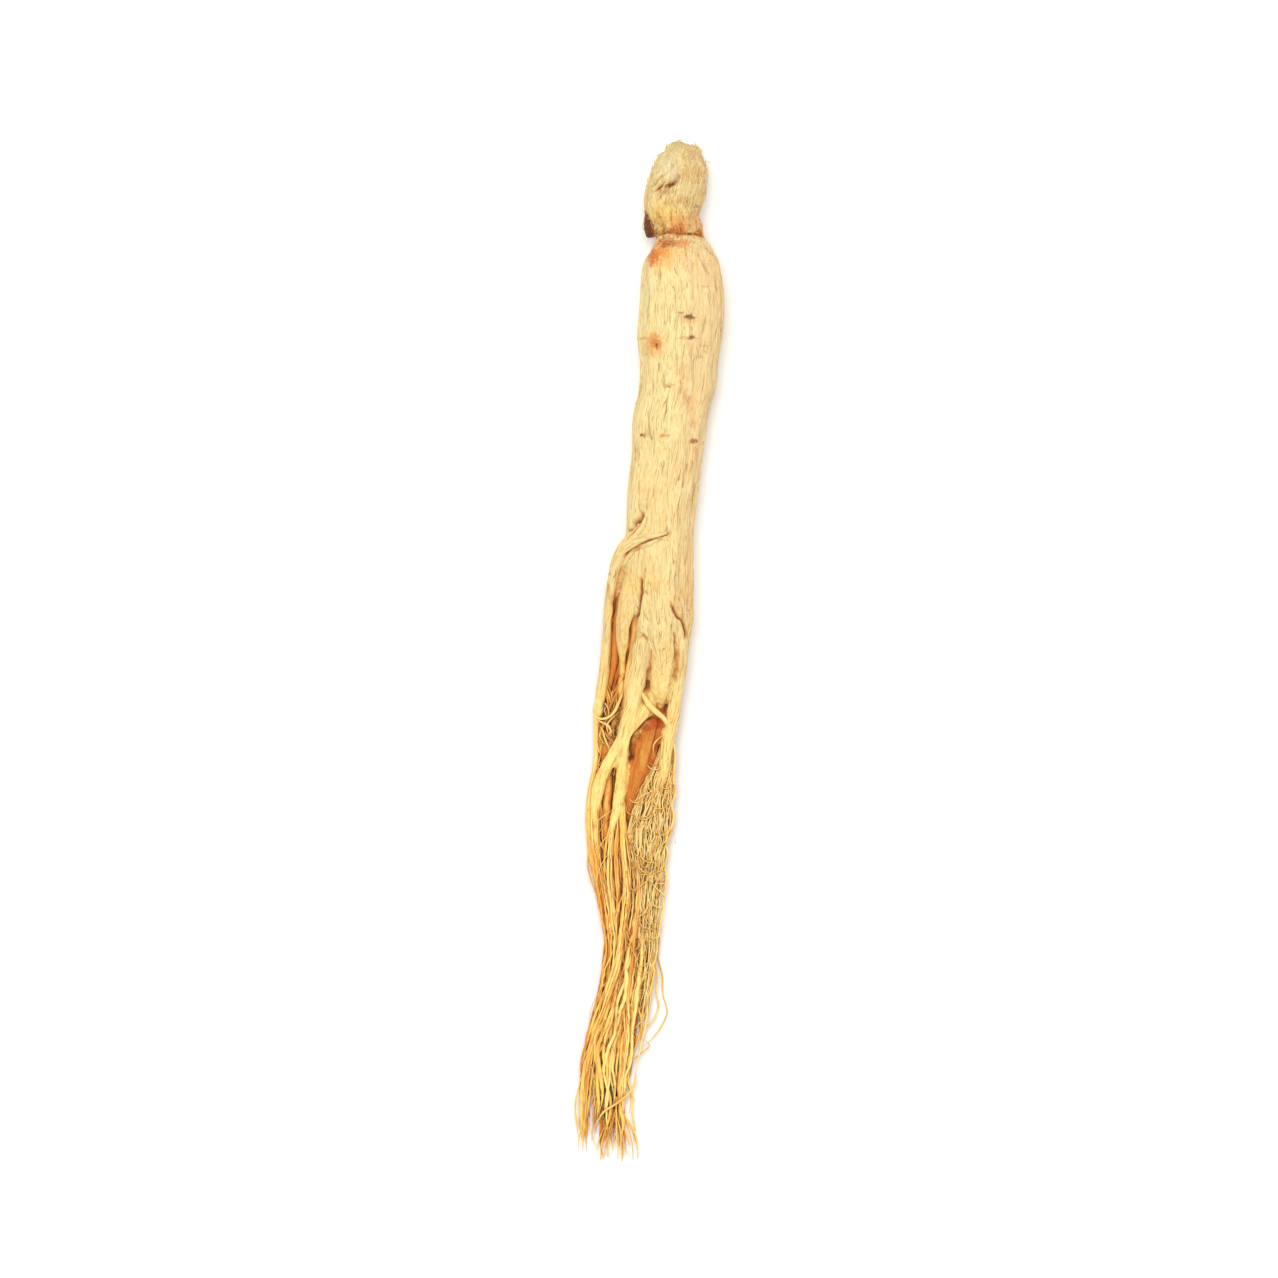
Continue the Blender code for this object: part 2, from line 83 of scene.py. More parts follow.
# X, Y, Z and radius along the middle of each leg and lateral root
LEGS = {
    "left_lateral_upper_ridge": [
        (-0.6, 44.5, 13.2, 1.0), (-2.1, 40.6, 15.0, 1.3), (-5.9, 35.3, 13.0, 1.8),
        (-9.1, 31.0, 10.8, 2.0), (-10.8, 26.4, 9.2, 1.8),
    ],
    "left_lateral_lower_ridge": [
        (9.4, 37.8, 11.6, 0.8), (2.9, 35.8, 16.4, 1.1), (-1.2, 34.4, 16.1, 1.5),
        (-5.3, 32.6, 14.1, 1.7), (-8.3, 29.9, 11.6, 1.9), (-10.4, 26.4, 9.6, 2.0),
        (-11.2, 22.0, 8.4, 2.1), (-12.1, 16.0, 7.5, 1.9), (-13.0, 6.0, 6.6, 1.7),
        (-14.3, -6.6, 5.8, 1.6), (-15.2, -12.5, 5.4, 1.7), (-15.6, -16.0, 5.2, 1.6),
        (-16.2, -20.0, 4.9, 0.9), (-16.4, -26.0, 4.6, 0.8), (-16.6, -32.0, 4.3, 0.9),
        (-17.9, -38.5, 3.9, 0.9), (-18.4, -46.0, 3.5, 1.2), (-18.0, -54.0, 3.2, 1.4),
        (-17.0, -61.0, 3.1, 1.4), (-15.2, -70.0, 2.9, 1.2), (-13.4, -82.0, 2.5, 1.0),
        (-12.2, -97.0, 2.2, 0.4),
    ],
    "left_leg": [
        (-2.0, 31.0, 8.0, 2.2), (-4.6, 25.5, 9.6, 2.9), (-5.9, 20.5, 10.5, 3.3),
        (-6.6, 15.5, 10.6, 3.4), (-7.6, 10.0, 10.1, 3.0), (-8.0, 4.5, 9.3, 2.5),
        (-7.9, -1.0, 8.2, 1.8), (-8.6, -6.0, 7.4, 1.4), (-9.1, -10.0, 6.9, 1.1),
        (-9.9, -15.0, 6.2, 1.1), (-11.4, -21.0, 5.4, 1.2), (-12.6, -29.0, 4.5, 1.4),
        (-13.2, -41.0, 3.7, 1.5), (-13.6, -52.0, 3.2, 1.4), (-13.0, -64.0, 2.9, 1.1),
        (-13.2, -78.0, 2.6, 0.8), (-12.6, -98.0, 2.2, 0.4),
    ],
    "middle_leg": [
        (-1.0, 10.5, 9.5, 1.8), (-2.4, 7.0, 11.0, 2.4), (-3.0, 3.5, 11.9, 2.6),
        (-3.3, -1.0, 11.3, 2.7), (-4.3, -6.6, 10.4, 2.8), (-5.2, -12.5, 9.4, 2.7),
        (-6.4, -18.0, 8.4, 2.8), (-7.9, -24.5, 7.2, 2.6), (-8.5, -30.0, 6.5, 2.1),
        (-8.8, -35.0, 6.1, 1.95), (-9.4, -40.0, 5.8, 1.9), (-10.3, -45.0, 5.4, 1.6),
        (-11.5, -49.5, 5.1, 1.1), (-12.2, -56.0, 4.8, 1.0), (-12.3, -62.0, 4.5, 0.95),
        (-11.7, -71.5, 4.2, 1.0), (-10.2, -86.0, 3.7, 0.9), (-10.4, -106.0, 3.2, 0.7),
        (-11.8, -128.0, 2.6, 0.4),
    ],
    "middle_leg_web": [
        (0.8, -7.0, 7.0, 1.8), (-0.8, -12.6, 7.8, 2.4), (-2.6, -16.8, 7.8, 2.6),
        (-5.2, -20.4, 7.3, 2.6), (-7.8, -24.6, 6.8, 2.2), (-9.2, -30.0, 6.0, 1.6),
    ],
    "middle_leg_fork": [
        (-7.6, -22.0, 7.4, 1.9), (-11.5, -28.8, 6.4, 1.8), (-15.0, -36.1, 5.4, 2.0),
        (-16.6, -43.0, 4.7, 1.6), (-16.7, -49.0, 4.3, 1.3), (-16.3, -56.0, 4.0, 1.2),
        (-15.0, -64.0, 3.7, 1.1), (-13.4, -72.0, 3.4, 1.0), (-12.2, -84.0, 3.1, 0.9),
        (-13.6, -104.0, 2.7, 0.7), (-16.4, -124.0, 2.2, 0.6), (-17.6, -143.0, 1.8, 0.3),
    ],
    "right_inner_leg": [
        (6.6, 14.5, 8.8, 1.8), (7.8, 10.0, 10.8, 1.9), (8.7, 5.2, 11.3, 1.9),
        (8.9, -0.7, 10.2, 1.7), (8.0, -7.5, 9.0, 1.6), (7.2, -12.0, 8.5, 1.7),
        (6.3, -16.4, 8.0, 2.1), (5.6, -20.0, 7.8, 2.1), (4.7, -24.5, 7.6, 2.0),
        (4.2, -28.5, 7.2, 1.9), (3.9, -33.0, 6.6, 1.7), (3.4, -38.0, 5.9, 1.3),
        (2.8, -44.0, 5.3, 0.7), (2.2, -52.0, 4.8, 0.3),
    ],
    "right_outer_leg": [
        (7.6, 23.0, 8.6, 1.8), (10.0, 17.0, 9.6, 2.0), (10.6, 11.5, 9.8, 1.8),
        (10.3, 6.5, 9.2, 1.3), (9.6, 1.0, 8.6, 1.1), (8.4, -7.0, 7.6, 1.0),
    ],
    "back_leg": [
        (2.4, -6.0, 6.6, 2.4), (1.4, -13.0, 5.6, 3.0), (0.0, -20.5, 5.1, 3.5),
        (-1.8, -26.0, 4.8, 3.9), (-2.8, -31.0, 4.6, 3.8), (-4.4, -35.5, 4.1, 3.0),
        (-5.6, -39.0, 3.8, 2.4), (-6.5, -43.5, 3.3, 1.9), (-7.4, -52.0, 2.6, 1.7),
        (-9.6, -62.0, 2.3, 1.6), (-9.9, -72.0, 2.0, 1.5), (-9.0, -82.0, 1.9, 1.3),
        (-11.0, -94.0, 1.8, 1.2), (-14.8, -107.0, 1.6, 1.1), (-18.0, -118.0, 1.5, 0.9),
        (-19.4, -134.0, 1.4, 0.7), (-19.4, -148.0, 1.2, 0.4),
    ],
}

# How far down Y each leg is fleshy enough to be part of the skin, and its tone at both ends:
# 0 pale cream, 1 deep orange
TO_ITS_END = -200.0
FLESHY_LEGS = {
    "left_lateral_upper_ridge": (TO_ITS_END, 0.05, 0.25),
    "left_lateral_lower_ridge": (-22.0, 0.05, 0.4),
    "left_leg": (-12.0, 0.10, 0.50),
    "middle_leg": (-50.0, 0.08, 0.30),
    "middle_leg_web": (TO_ITS_END, 0.25, 0.35),
    "middle_leg_fork": (-48.0, 0.15, 0.35),
    "right_inner_leg": (-44.0, 0.08, 0.16),
    "right_outer_leg": (TO_ITS_END, 0.20, 0.35),
    "back_leg": (-56.0, 0.92, 0.74),
}
MAIN_ROOT_TONES = (0.0, 0.22)

# How each limb is built: points round it, spacing along it and how much relief it has
MAIN_ROOT_SIDES = 96
MAIN_ROOT_SPACING = 1.0
LEG_SIDES = 28
LEG_SPACING = 0.8
LEG_RELIEF = 0.28
# A leg that leaves the skin before its end thins to this share of its radius over this length
LEG_END_SHARE = 0.3
LEG_END_LENGTH = 12.0

# Deep creases between the shoulder, the laterals and the legs: route in X and Y, depth and width.
# The low ones lie on the back leg and the foot of the middle leg.
CREASES = [
    ([(-2.4, 43.4), (-4.1, 39.9), (-6.0, 37.7), (-8.6, 35.2)], 1.6, 0.9),
    ([(-3.2, 42.0), (-4.8, 39.6), (-6.4, 37.8)], 1.4, 0.9),
    ([(-7.4, 30.6), (-4.8, 32.2), (-2.2, 33.4)], 1.7, 1.1),
    ([(-1.9, 38.2), (-0.9, 37.2), (-0.1, 37.4)], 0.9, 0.6),
    ([(-2.6, 37.0), (-3.6, 35.8)], 0.6, 0.5),
    ([(6.2, 36.7), (2.6, 35.5), (-1.9, 33.9), (-5.0, 32.3), (-7.5, 30.4), (-8.5, 27.9)], 1.5, 0.72),
    ([(-8.5, 27.9), (-9.4, 23.5), (-10.4, 17.2), (-10.9, 8.0)], 0.6, 0.7),
    ([(-2.5, 31.7), (-3.4, 27.5), (-3.3, 22.5)], 0.5, 0.45),
    ([(-3.3, 24.5), (-3.1, 19.1), (-4.4, 13.4), (-5.3, 10.2), (-6.2, 3.6)], 1.2, 0.55),
    ([(-6.2, 3.6), (-7.0, -1.8), (-6.8, -6.2)], 1.0, 0.6),
    ([(-5.3, 5.5), (-3.1, 6.6), (-1.5, 5.6), (-0.7, 3.9)], 0.8, 0.5),
    ([(-0.3, 3.3), (-0.3, -1.2), (-1.2, -6.2), (-1.9, -11.3)], 0.8, 0.45),
    ([(5.0, 16.6), (7.6, 12.7), (9.2, 10.2), (10.2, 7.7), (10.0, 4.5)], 1.0, 0.5),
    ([(6.2, 8.6), (7.0, 5.8), (7.3, 1.4), (7.0, -3.7), (6.7, -8.1)], 0.8, 0.5),
    ([(-0.4, 39.6), (0.9, 38.4)], 1.1, 0.7),
    ([(1.6, 59.8), (1.3, 55.1), (2.1, 50.7), (1.6, 45.6)], 0.35, 0.5),
    ([(4.5, 60.8), (4.8, 57.0), (4.2, 51.9), (4.8, 46.3), (3.8, 40.6)], 0.4, 0.5),
    ([(6.4, 55.7), (7.0, 49.4), (6.4, 43.1)], 0.3, 0.5),
    ([(1.0, 27.9), (1.3, 23.5), (0.7, 19.1), (1.6, 15.3)], 0.4, 0.5),
    ([(3.8, 29.2), (5.7, 25.4), (8.3, 21.0)], 0.3, 0.5),
    ([(12.1, 118.1), (11.9, 113.0), (12.6, 108.0), (11.5, 103.6)], 0.45, 0.5),
    ([(3.1, 101.7), (3.2, 97.9), (2.9, 94.7)], 0.4, 0.5),
    ([(7.9, 109.9), (7.5, 105.5), (8.3, 102.9)], 0.35, 0.5),
    ([(-1.9, 115.6), (-1.5, 110.5), (-1.9, 106.1)], 0.3, 0.5),
    ([(16.5, 98.5), (15.2, 94.7)], 0.35, 0.5),
]
LOW_CREASES = [
    ([
        (3.4, -20.4), (2.0, -18.4), (0.4, -17.7), (-1.2, -18.9), (-2.8, -20.5), (-4.3, -22.3),
        (-5.5, -24.4), (-5.9, -28.8), (-6.6, -32.4),
    ], 1.0, 0.6),
    ([(2.4, -19.0), (1.4, -23.6), (0.3, -28.0), (-0.6, -32.4)], 0.8, 0.6),
    ([(-2.6, -22.4), (-4.0, -26.6), (-4.9, -31.0), (-6.2, -36.0), (-7.0, -41.0)], 0.6, 0.5),
    ([(0.6, -20.6), (-0.8, -25.6), (-2.2, -30.0)], 0.4, 0.5),
]

# Creases are cut where the skin lies above the first height, and low ones above the second
CREASES_ABOVE = 7.0
LOW_CREASES_ABOVE = 2.0
# How far a crease sways off its route, over what length, and how it fades out at both ends
CREASE_SWAY = 0.45
CREASE_SWAY_LENGTH = 2.6
CREASE_END_SHARE = 0.3
CREASE_END_LENGTH = 2.4
# Upward part of the skin's normal between which a crease starts to show
CREASE_FACING = (-0.1, 0.35)

# Every wavy route and crease is bent by noise that starts from this seed
ROUTE_SEED = 17
noise.seed_set(ROUTE_SEED)

SKIN_VOXEL = 0.4
SKIN_SMOOTHING = 5
# Ribs that run along each limb, and lumps on them
RIB_HEIGHT = 0.9
RIB_LENGTH = 45.0
RIBS_ROUND = 3.4
LUMP_HEIGHT = 0.5
LUMP_LENGTH = 16.0
LUMP_OFFSET = 5.0
# Two limbs closer than this are pressed together in a seam, which has no furrows
SEAM_WIDTH = 0.9
# Each limb reads its furrows this much further along the noise than the one before it
GRAIN_OFFSET = 53.0
FAR = 1e9


def smooth_through(knots, values, at):
    """Values read from a smooth curve through the given ones."""
    knots = np.asarray(knots, dtype=float)
    values = np.asarray(values, dtype=float)
    at = np.asarray(at, dtype=float)
    slopes = np.gradient(values, knots, axis=0)
    index = np.clip(np.searchsorted(knots, at, side="right") - 1, 0, len(knots) - 2)
    width = (knots[index + 1] - knots[index])[:, None]
    t = (at - knots[index])[:, None] / width
    value = (2 * t**3 - 3 * t**2 + 1) * values[index] + (3 * t**2 - 2 * t**3) * values[index + 1]
    value += (t**3 - 2 * t**2 + t) * width * slopes[index]
    return value + (t**3 - t**2) * width * slopes[index + 1]


def smooth_route(rows, spacing):
    """Rows of X, Y, Z and radius at an even spacing along a smooth curve through the given rows."""
    rows = np.asarray(rows, dtype=float)
    knots = np.concatenate(([0.0], np.cumsum(np.linalg.norm(np.diff(rows[:, :3], axis=0), axis=1))))
    count = max(4, round(knots[-1] / spacing))
    return smooth_through(knots, rows, np.linspace(0.0, knots[-1], count + 1))


def smooth_step(value, low, high):
    """0 below low, 1 above high and a smooth rise between."""
    share = np.clip((np.asarray(value, dtype=float) - low) / (high - low), 0.0, 1.0)
    return share * share * (3 - 2 * share)


def faded(share, along, length):
    """A share at the start that rises smoothly to 1 over a length."""
    return share + (1.0 - share) * smooth_step(along, 0.0, length)


class Limb:
    """The middle line of the main root or a leg, with the directions across it."""

    def __init__(self, middles, half_width, half_height, tones):
        self.middles = middles
        self.half_width = half_width
        self.half_height = half_height
        self.ahead = np.gradient(middles, axis=0)
        self.ahead /= np.linalg.norm(self.ahead, axis=1)[:, None]
        self.across = np.cross(self.ahead, (0.0, 0.0, 1.0))
        self.across /= np.linalg.norm(self.across, axis=1)[:, None]
        self.upward = np.cross(self.across, self.ahead)
        steps = np.linalg.norm(np.diff(middles, axis=0), axis=1)
        self.along = np.concatenate(([0.0], np.cumsum(steps)))
        self.tones = np.linspace(tones[0], tones[1], len(middles))


def ring_relief(middle, angle):
    """Height of the ribs and lumps that the fleshy parts have all round."""
    across = Vector((math.cos(angle), math.sin(angle), 0.0))
    ribs = noise.noise(across * RIBS_ROUND + Vector((0.0, 0.0, middle[1] / RIB_LENGTH)))
    lumps = noise.noise(across + Vector((LUMP_OFFSET, 0.0, middle[1] / LUMP_LENGTH)))
    return RIB_HEIGHT * ribs + LUMP_HEIGHT * lumps


def limb_rings(limb, sides, relief):
    """Rings of points round a limb, with ribs and lumps as high as the relief says."""
    angles = np.linspace(0.0, 2 * math.pi, sides, endpoint=False)
    rings = []
    for place, middle in enumerate(limb.middles):
        swell = np.array([ring_relief(middle, angle) for angle in angles]) * relief
        wide = (limb.half_width[place] + swell) * np.cos(angles)
        high = (limb.half_height[place] + swell) * np.sin(angles)
        rings.append(middle + wide[:, None] * limb.across[place] + high[:, None] * limb.upward[place])
    return rings


def add_closed_tube(mesh_maker, rings):
    """Joins rings of points into a tube that is closed at both ends."""
    made = [[mesh_maker.verts.new(Vector(point) * MM) for point in ring] for ring in rings]
    for before, after in zip(made, made[1:]):
        for side, corner in enumerate(before):
            following = (side + 1) % len(before)
            mesh_maker.faces.new((corner, after[side], after[following], before[following]))
    mesh_maker.faces.new(reversed(made[0]))
    mesh_maker.faces.new(made[-1])


def main_root_limb(stations, spacing, tones):
    """The limb whose sections are the given stations."""
    stations = np.array(stations)[::-1]
    count = round((stations[-1, 0] - stations[0, 0]) / spacing)
    places = np.linspace(stations[0, 0], stations[-1, 0], count + 1)[::-1]
    left, right, thickness, underside = smooth_through(stations[:, 0], stations[:, 1:], places).T
    middles = np.column_stack(((left + right) / 2, places, underside + thickness / 2))
    return Limb(middles, np.maximum((right - left) / 2, 0.2), np.maximum(thickness / 2, 0.2), tones)


def plain_mesh_of(piece):
    """The piece's mesh as its modifiers leave it."""
    bpy.context.view_layer.update()
    depsgraph = bpy.context.evaluated_depsgraph_get()
    evaluated = piece.evaluated_get(depsgraph)
    return bpy.data.meshes.new_from_object(evaluated, preserve_all_data_layers=True, depsgraph=depsgraph)


def grown_together(name, mesh_maker, voxel, smoothing):
    """One closed skin over everything in the mesh maker, as an object."""
    bmesh.ops.recalc_face_normals(mesh_maker, faces=mesh_maker.faces)
    mesh = bpy.data.meshes.new(name)
    mesh_maker.to_mesh(mesh)
    mesh_maker.free()
    piece = bpy.data.objects.new(name, mesh)
    bpy.context.scene.collection.objects.link(piece)
    skin = piece.modifiers.new("one_skin", "REMESH")
    skin.mode = "VOXEL"
    skin.voxel_size = voxel * MM
    soften = piece.modifiers.new("soften", "SMOOTH")
    soften.factor = 0.5
    soften.iterations = smoothing
    finished = plain_mesh_of(piece)
    piece.modifiers.clear()
    piece.data = finished
    finished.name = name
    return piece


def points_of(mesh):
    """The mesh's points in millimetres."""
    points = np.empty(len(mesh.vertices) * 3, dtype=np.float32)
    mesh.vertices.foreach_get("co", points)
    return points.reshape(-1, 3).astype(float) / MM


def keep_value(mesh, name, values):
    """Stores a number or a vector on each point of the mesh."""
    kind, field = ("FLOAT_VECTOR", "vector") if np.ndim(values) == 2 else ("FLOAT", "value")
    layer = mesh.attributes.new(name, kind, "POINT")
    layer.data.foreach_set(field, np.ravel(values).astype(np.float32))


def follow_limbs(mesh, limbs):
    """Stores how the grain runs at each point, its tone, and how close it is to a second limb."""
    points = points_of(mesh)
    nearest = np.full(len(points), FAR)
    second = np.full(len(points), FAR)
    grain = np.zeros((len(points), 3))
    tone = np.zeros(len(points))
    for number, limb in enumerate(limbs):
        apart = (points**2).sum(axis=1)[:, None] - 2 * points @ limb.middles.T
        apart += (limb.middles**2).sum(axis=1)[None]
        index = np.argmin(apart, axis=1)
        offset = points - limb.middles[index]
        across = (offset * limb.across[index]).sum(axis=1)
        upward = (offset * limb.upward[index]).sum(axis=1)
        ahead = (offset * limb.ahead[index]).sum(axis=1)
        wide = limb.half_width[index]
        high = limb.half_height[index]
        size = np.minimum(wide, high)
        gap = (np.sqrt((across / wide) ** 2 + (upward / high) ** 2 + (ahead / size) ** 2) - 1) * size
        better = gap < nearest
        second = np.where(better, nearest, np.minimum(second, gap))
        nearest = np.where(better, gap, nearest)
        here = np.column_stack((across, upward, limb.along[index] + ahead + GRAIN_OFFSET * number))
        grain[better] = here[better]
        tone[better] = limb.tones[index][better]
    keep_value(mesh, "grain", grain)
    keep_value(mesh, "tone", tone)
    keep_value(mesh, "seam", 1.0 - smooth_step(second - nearest, 0.0, SEAM_WIDTH))


def distance_to_route(points, route):
    """Distance from each point's X and Y to a route of straight runs."""
    nearest = np.full(len(points), FAR)
    for start, end in zip(np.array(route), np.array(route[1:])):
        run = end - start
        share = np.clip(((points - start) @ run) / (run @ run), 0.0, 1.0)
        nearest = np.minimum(nearest, np.linalg.norm(points - start - share[:, None] * run, axis=1))
    return nearest


def cut_creases(mesh, creases_by_height):
    """Presses creases into the side that is seen and stores how deep each point lies in one, as painted
    shade.
    """
    points = points_of(mesh)
    normals = np.empty(len(points) * 3, dtype=np.float32)
    mesh.vertices.foreach_get("normal", normals)
    normals = normals.reshape(-1, 3).astype(float)
    facing = smooth_step(normals[:, 2], *CREASE_FACING)
    sway = np.array([noise.noise_vector(Vector(point) / CREASE_SWAY_LENGTH) for point in points])
    swayed = points[:, :2] + CREASE_SWAY * sway[:, :2]
    pressed = np.zeros(len(points))
    painted_crease_shade = np.zeros(len(points))
    for above, creases in creases_by_height:
        shown = facing * smooth_step(points[:, 2], above - 1.0, above + 1.0)
        for route, depth, width in creases:
            ends = np.array([route[0], route[-1]])
            from_end = np.linalg.norm(swayed[:, None] - ends[None], axis=2).min(axis=1)
            near = np.exp(-((distance_to_route(swayed, route) / width) ** 2)) * shown
            near *= faded(CREASE_END_SHARE, from_end, CREASE_END_LENGTH)
            pressed = np.maximum(pressed, depth * near)
            # Painted shade in the crease, as dark as the crease is deep, up to full
            painted_crease_shade = np.maximum(painted_crease_shade, min(1.0, depth) * near)
    points -= normals * pressed[:, None]
    mesh.vertices.foreach_set("co", (points * MM).astype(np.float32).ravel())
    keep_value(mesh, "crease", painted_crease_shade)
    mesh.update()


def add_node(tree, kind, inputs=(), **settings):
    """A node with its settings, each given input set to a value or joined to a socket."""
    made = tree.nodes.new(kind)
    for name, value in settings.items():
        setattr(made, name, value)
    for key, value in dict(inputs).items():
        if isinstance(value, bpy.types.NodeSocket):
            tree.links.new(value, made.inputs[key])
        else:
            made.inputs[key].default_value = value
    return made


def maths(tree, operation, first, second=0.0, clamp=False):
    """The result of a sum on numbers."""
    return add_node(
        tree, "ShaderNodeMath", {0: first, 1: second}, operation=operation, use_clamp=clamp
    ).outputs[0]


def vector_maths(tree, operation, first, second=(0.0, 0.0, 0.0)):
    """The result of a sum on vectors."""
    return add_node(tree, "ShaderNodeVectorMath", {0: first, 1: second}, operation=operation).outputs[0]


def scaled(tree, vector, scale):
    """A vector times a number."""
    settings = {0: vector, "Scale": scale}
    return add_node(tree, "ShaderNodeVectorMath", settings, operation="SCALE").outputs[0]


def combined(tree, x, y, z=0.0):
    """A vector made of three numbers."""
    return add_node(tree, "ShaderNodeCombineXYZ", {0: x, 1: y, 2: z}).outputs[0]


def eased(tree, value, low, high, start=0.0, end=1.0):
    """A value eased from start to end as it goes from low to high."""
    return add_node(
        tree,
        "ShaderNodeMapRange",
        {"Value": value, "From Min": low, "From Max": high, "To Min": start, "To Max": end},
        interpolation_type="SMOOTHSTEP",
    ).outputs["Result"]


def noise_at(tree, place, scale, detail=0.0, output="Fac"):
    """Noise read at a place."""
    settings = {"Vector": place, "Scale": scale, "Detail": detail}
    return add_node(tree, "ShaderNodeTexNoise", settings).outputs[output]


def noise_along(tree, grain, cell, detail):
    """Noise with cells of a size across and along the grain."""
    return noise_at(tree, vector_maths(tree, "DIVIDE", grain, cell), 1.0, detail)


def spread_noise(tree, place, scale, detail):
    """A vector of noise around 0."""
    return vector_maths(tree, "SUBTRACT", noise_at(tree, place, scale, detail, "Color"), (0.5, 0.5, 0.5))


def new_tree(name, kind, inputs, outputs):
    """An empty node tree with named inputs and outputs, each with its kind of socket."""
    tree = bpy.data.node_groups.new(name, kind)
    for label, socket, value in inputs:
        socket = "NodeSocket" + socket
        made = tree.interface.new_socket(name=label, in_out="INPUT", socket_type=socket)
        if value is not None:
            made.default_value = value
    for label, socket in outputs:
        tree.interface.new_socket(name=label, in_out="OUTPUT", socket_type="NodeSocket" + socket)
    return tree, tree.nodes.new("NodeGroupInput").outputs, tree.nodes.new("NodeGroupOutput").inputs


def make_furrow_lines(kind):
    """Wavy lines of even width along the grain, where a drawn-out noise crosses its middle value."""
    tree, given, result = new_tree(
        "furrow_lines",
        kind,
        [
            ("Grain", "Vector", None),
            ("Cell", "Float", 1.0),
            ("Length", "Float", 8.0),
            ("Width", "Float", 0.1),
            ("Sway", "Float", 0.5),
        ],
        [("Lines", "Float")],
    )
    sway_cell = (2.6, 2.6, 3.4)
    detail = 0.6
    middle_value = 0.5
    # The slope is read over this step, and a line fades where the noise is nearly level
    step_size = 0.08
    least_slope = 0.3
    line_slopes = (0.25, 0.7)

    size = combined(tree, given["Cell"], given["Cell"], given["Length"])
    drawn_out = vector_maths(tree, "DIVIDE", given["Grain"], size)
    loose = vector_maths(tree, "DIVIDE", given["Grain"], sway_cell)
    sway = scaled(tree, spread_noise(tree, loose, 1.0, 1.0), given["Sway"])
    sway = vector_maths(tree, "MULTIPLY", sway, (1.0, 1.0, 0.0))
    place = vector_maths(tree, "ADD", drawn_out, sway)
    here = noise_at(tree, place, 1.0, detail)
    squares = []
    for step in [(step_size, 0.0, 0.0), (0.0, step_size, 0.0)]:
        beside = noise_at(tree, vector_maths(tree, "ADD", place, step), 1.0, detail)
        rise = maths(tree, "DIVIDE", maths(tree, "SUBTRACT", beside, here), step_size)
        squares.append(maths(tree, "MULTIPLY", rise, rise))
    slope = maths(tree, "SQRT", maths(tree, "ADD", squares[0], squares[1]))
    apart = maths(tree, "ABSOLUTE", maths(tree, "SUBTRACT", here, middle_value))
    apart = maths(tree, "DIVIDE", apart, maths(tree, "MAXIMUM", slope, least_slope))
    lines = eased(tree, apart, given["Width"], 0.0)
    lines = maths(tree, "MULTIPLY", lines, eased(tree, slope, *line_slopes))
    tree.links.new(lines, result["Lines"])
    return tree


furrow_lines = make_furrow_lines("GeometryNodeTree")


def lines_in(tree, group, grain, cell, length, width, sway):
    """Furrow lines of one size."""
    kind = "GeometryNodeGroup" if tree.bl_idname == "GeometryNodeTree" else "ShaderNodeGroup"
    sizes = {"Grain": grain, "Cell": cell, "Length": length, "Width": width, "Sway": sway}
    return add_node(tree, kind, sizes, node_tree=group).outputs["Lines"]


def stored(tree, name, kind="FLOAT"):
    """A value that is stored on the mesh under a name."""
    reader = add_node(tree, "GeometryNodeInputNamedAttribute", {"Name": name}, data_type=kind)
    return reader.outputs["Attribute"]


def store(tree, geometry, name, value, kind="FLOAT"):
    """The geometry with a value stored on its points."""
    return add_node(
        tree,
        "GeometryNodeStoreNamedAttribute",
        {"Geometry": geometry, "Name": name, "Value": value},
        data_type=kind,
        domain="POINT",
    ).outputs["Geometry"]


def position(tree):
    """Where each point is."""
    return tree.nodes.new("GeometryNodeInputPosition").outputs[0]


def moved(tree, geometry, key, vector):
    """The geometry with its points set to a Position or moved by an Offset."""
    settings = {"Geometry": geometry, key: vector}
    return add_node(tree, "GeometryNodeSetPosition", settings).outputs["Geometry"]


def moved_along_normal(tree, geometry, height):
    """The geometry with each point moved out by a height in millimetres."""
    normal = tree.nodes.new("GeometryNodeInputNormal").outputs[0]
    return moved(tree, geometry, "Offset", scaled(tree, normal, maths(tree, "MULTIPLY", height, MM)))


def finished_mesh(tree, geometry, material):
    """The geometry as a plain smooth mesh in its material."""
    geometry = add_node(tree, "GeometryNodeRealizeInstances", {"Geometry": geometry}).outputs["Geometry"]
    geometry = add_node(tree, "GeometryNodeSetShadeSmooth", {"Geometry": geometry}).outputs["Geometry"]
    painted = add_node(tree, "GeometryNodeSetMaterial", {"Geometry": geometry, "Material": material})
    return painted.outputs["Geometry"]


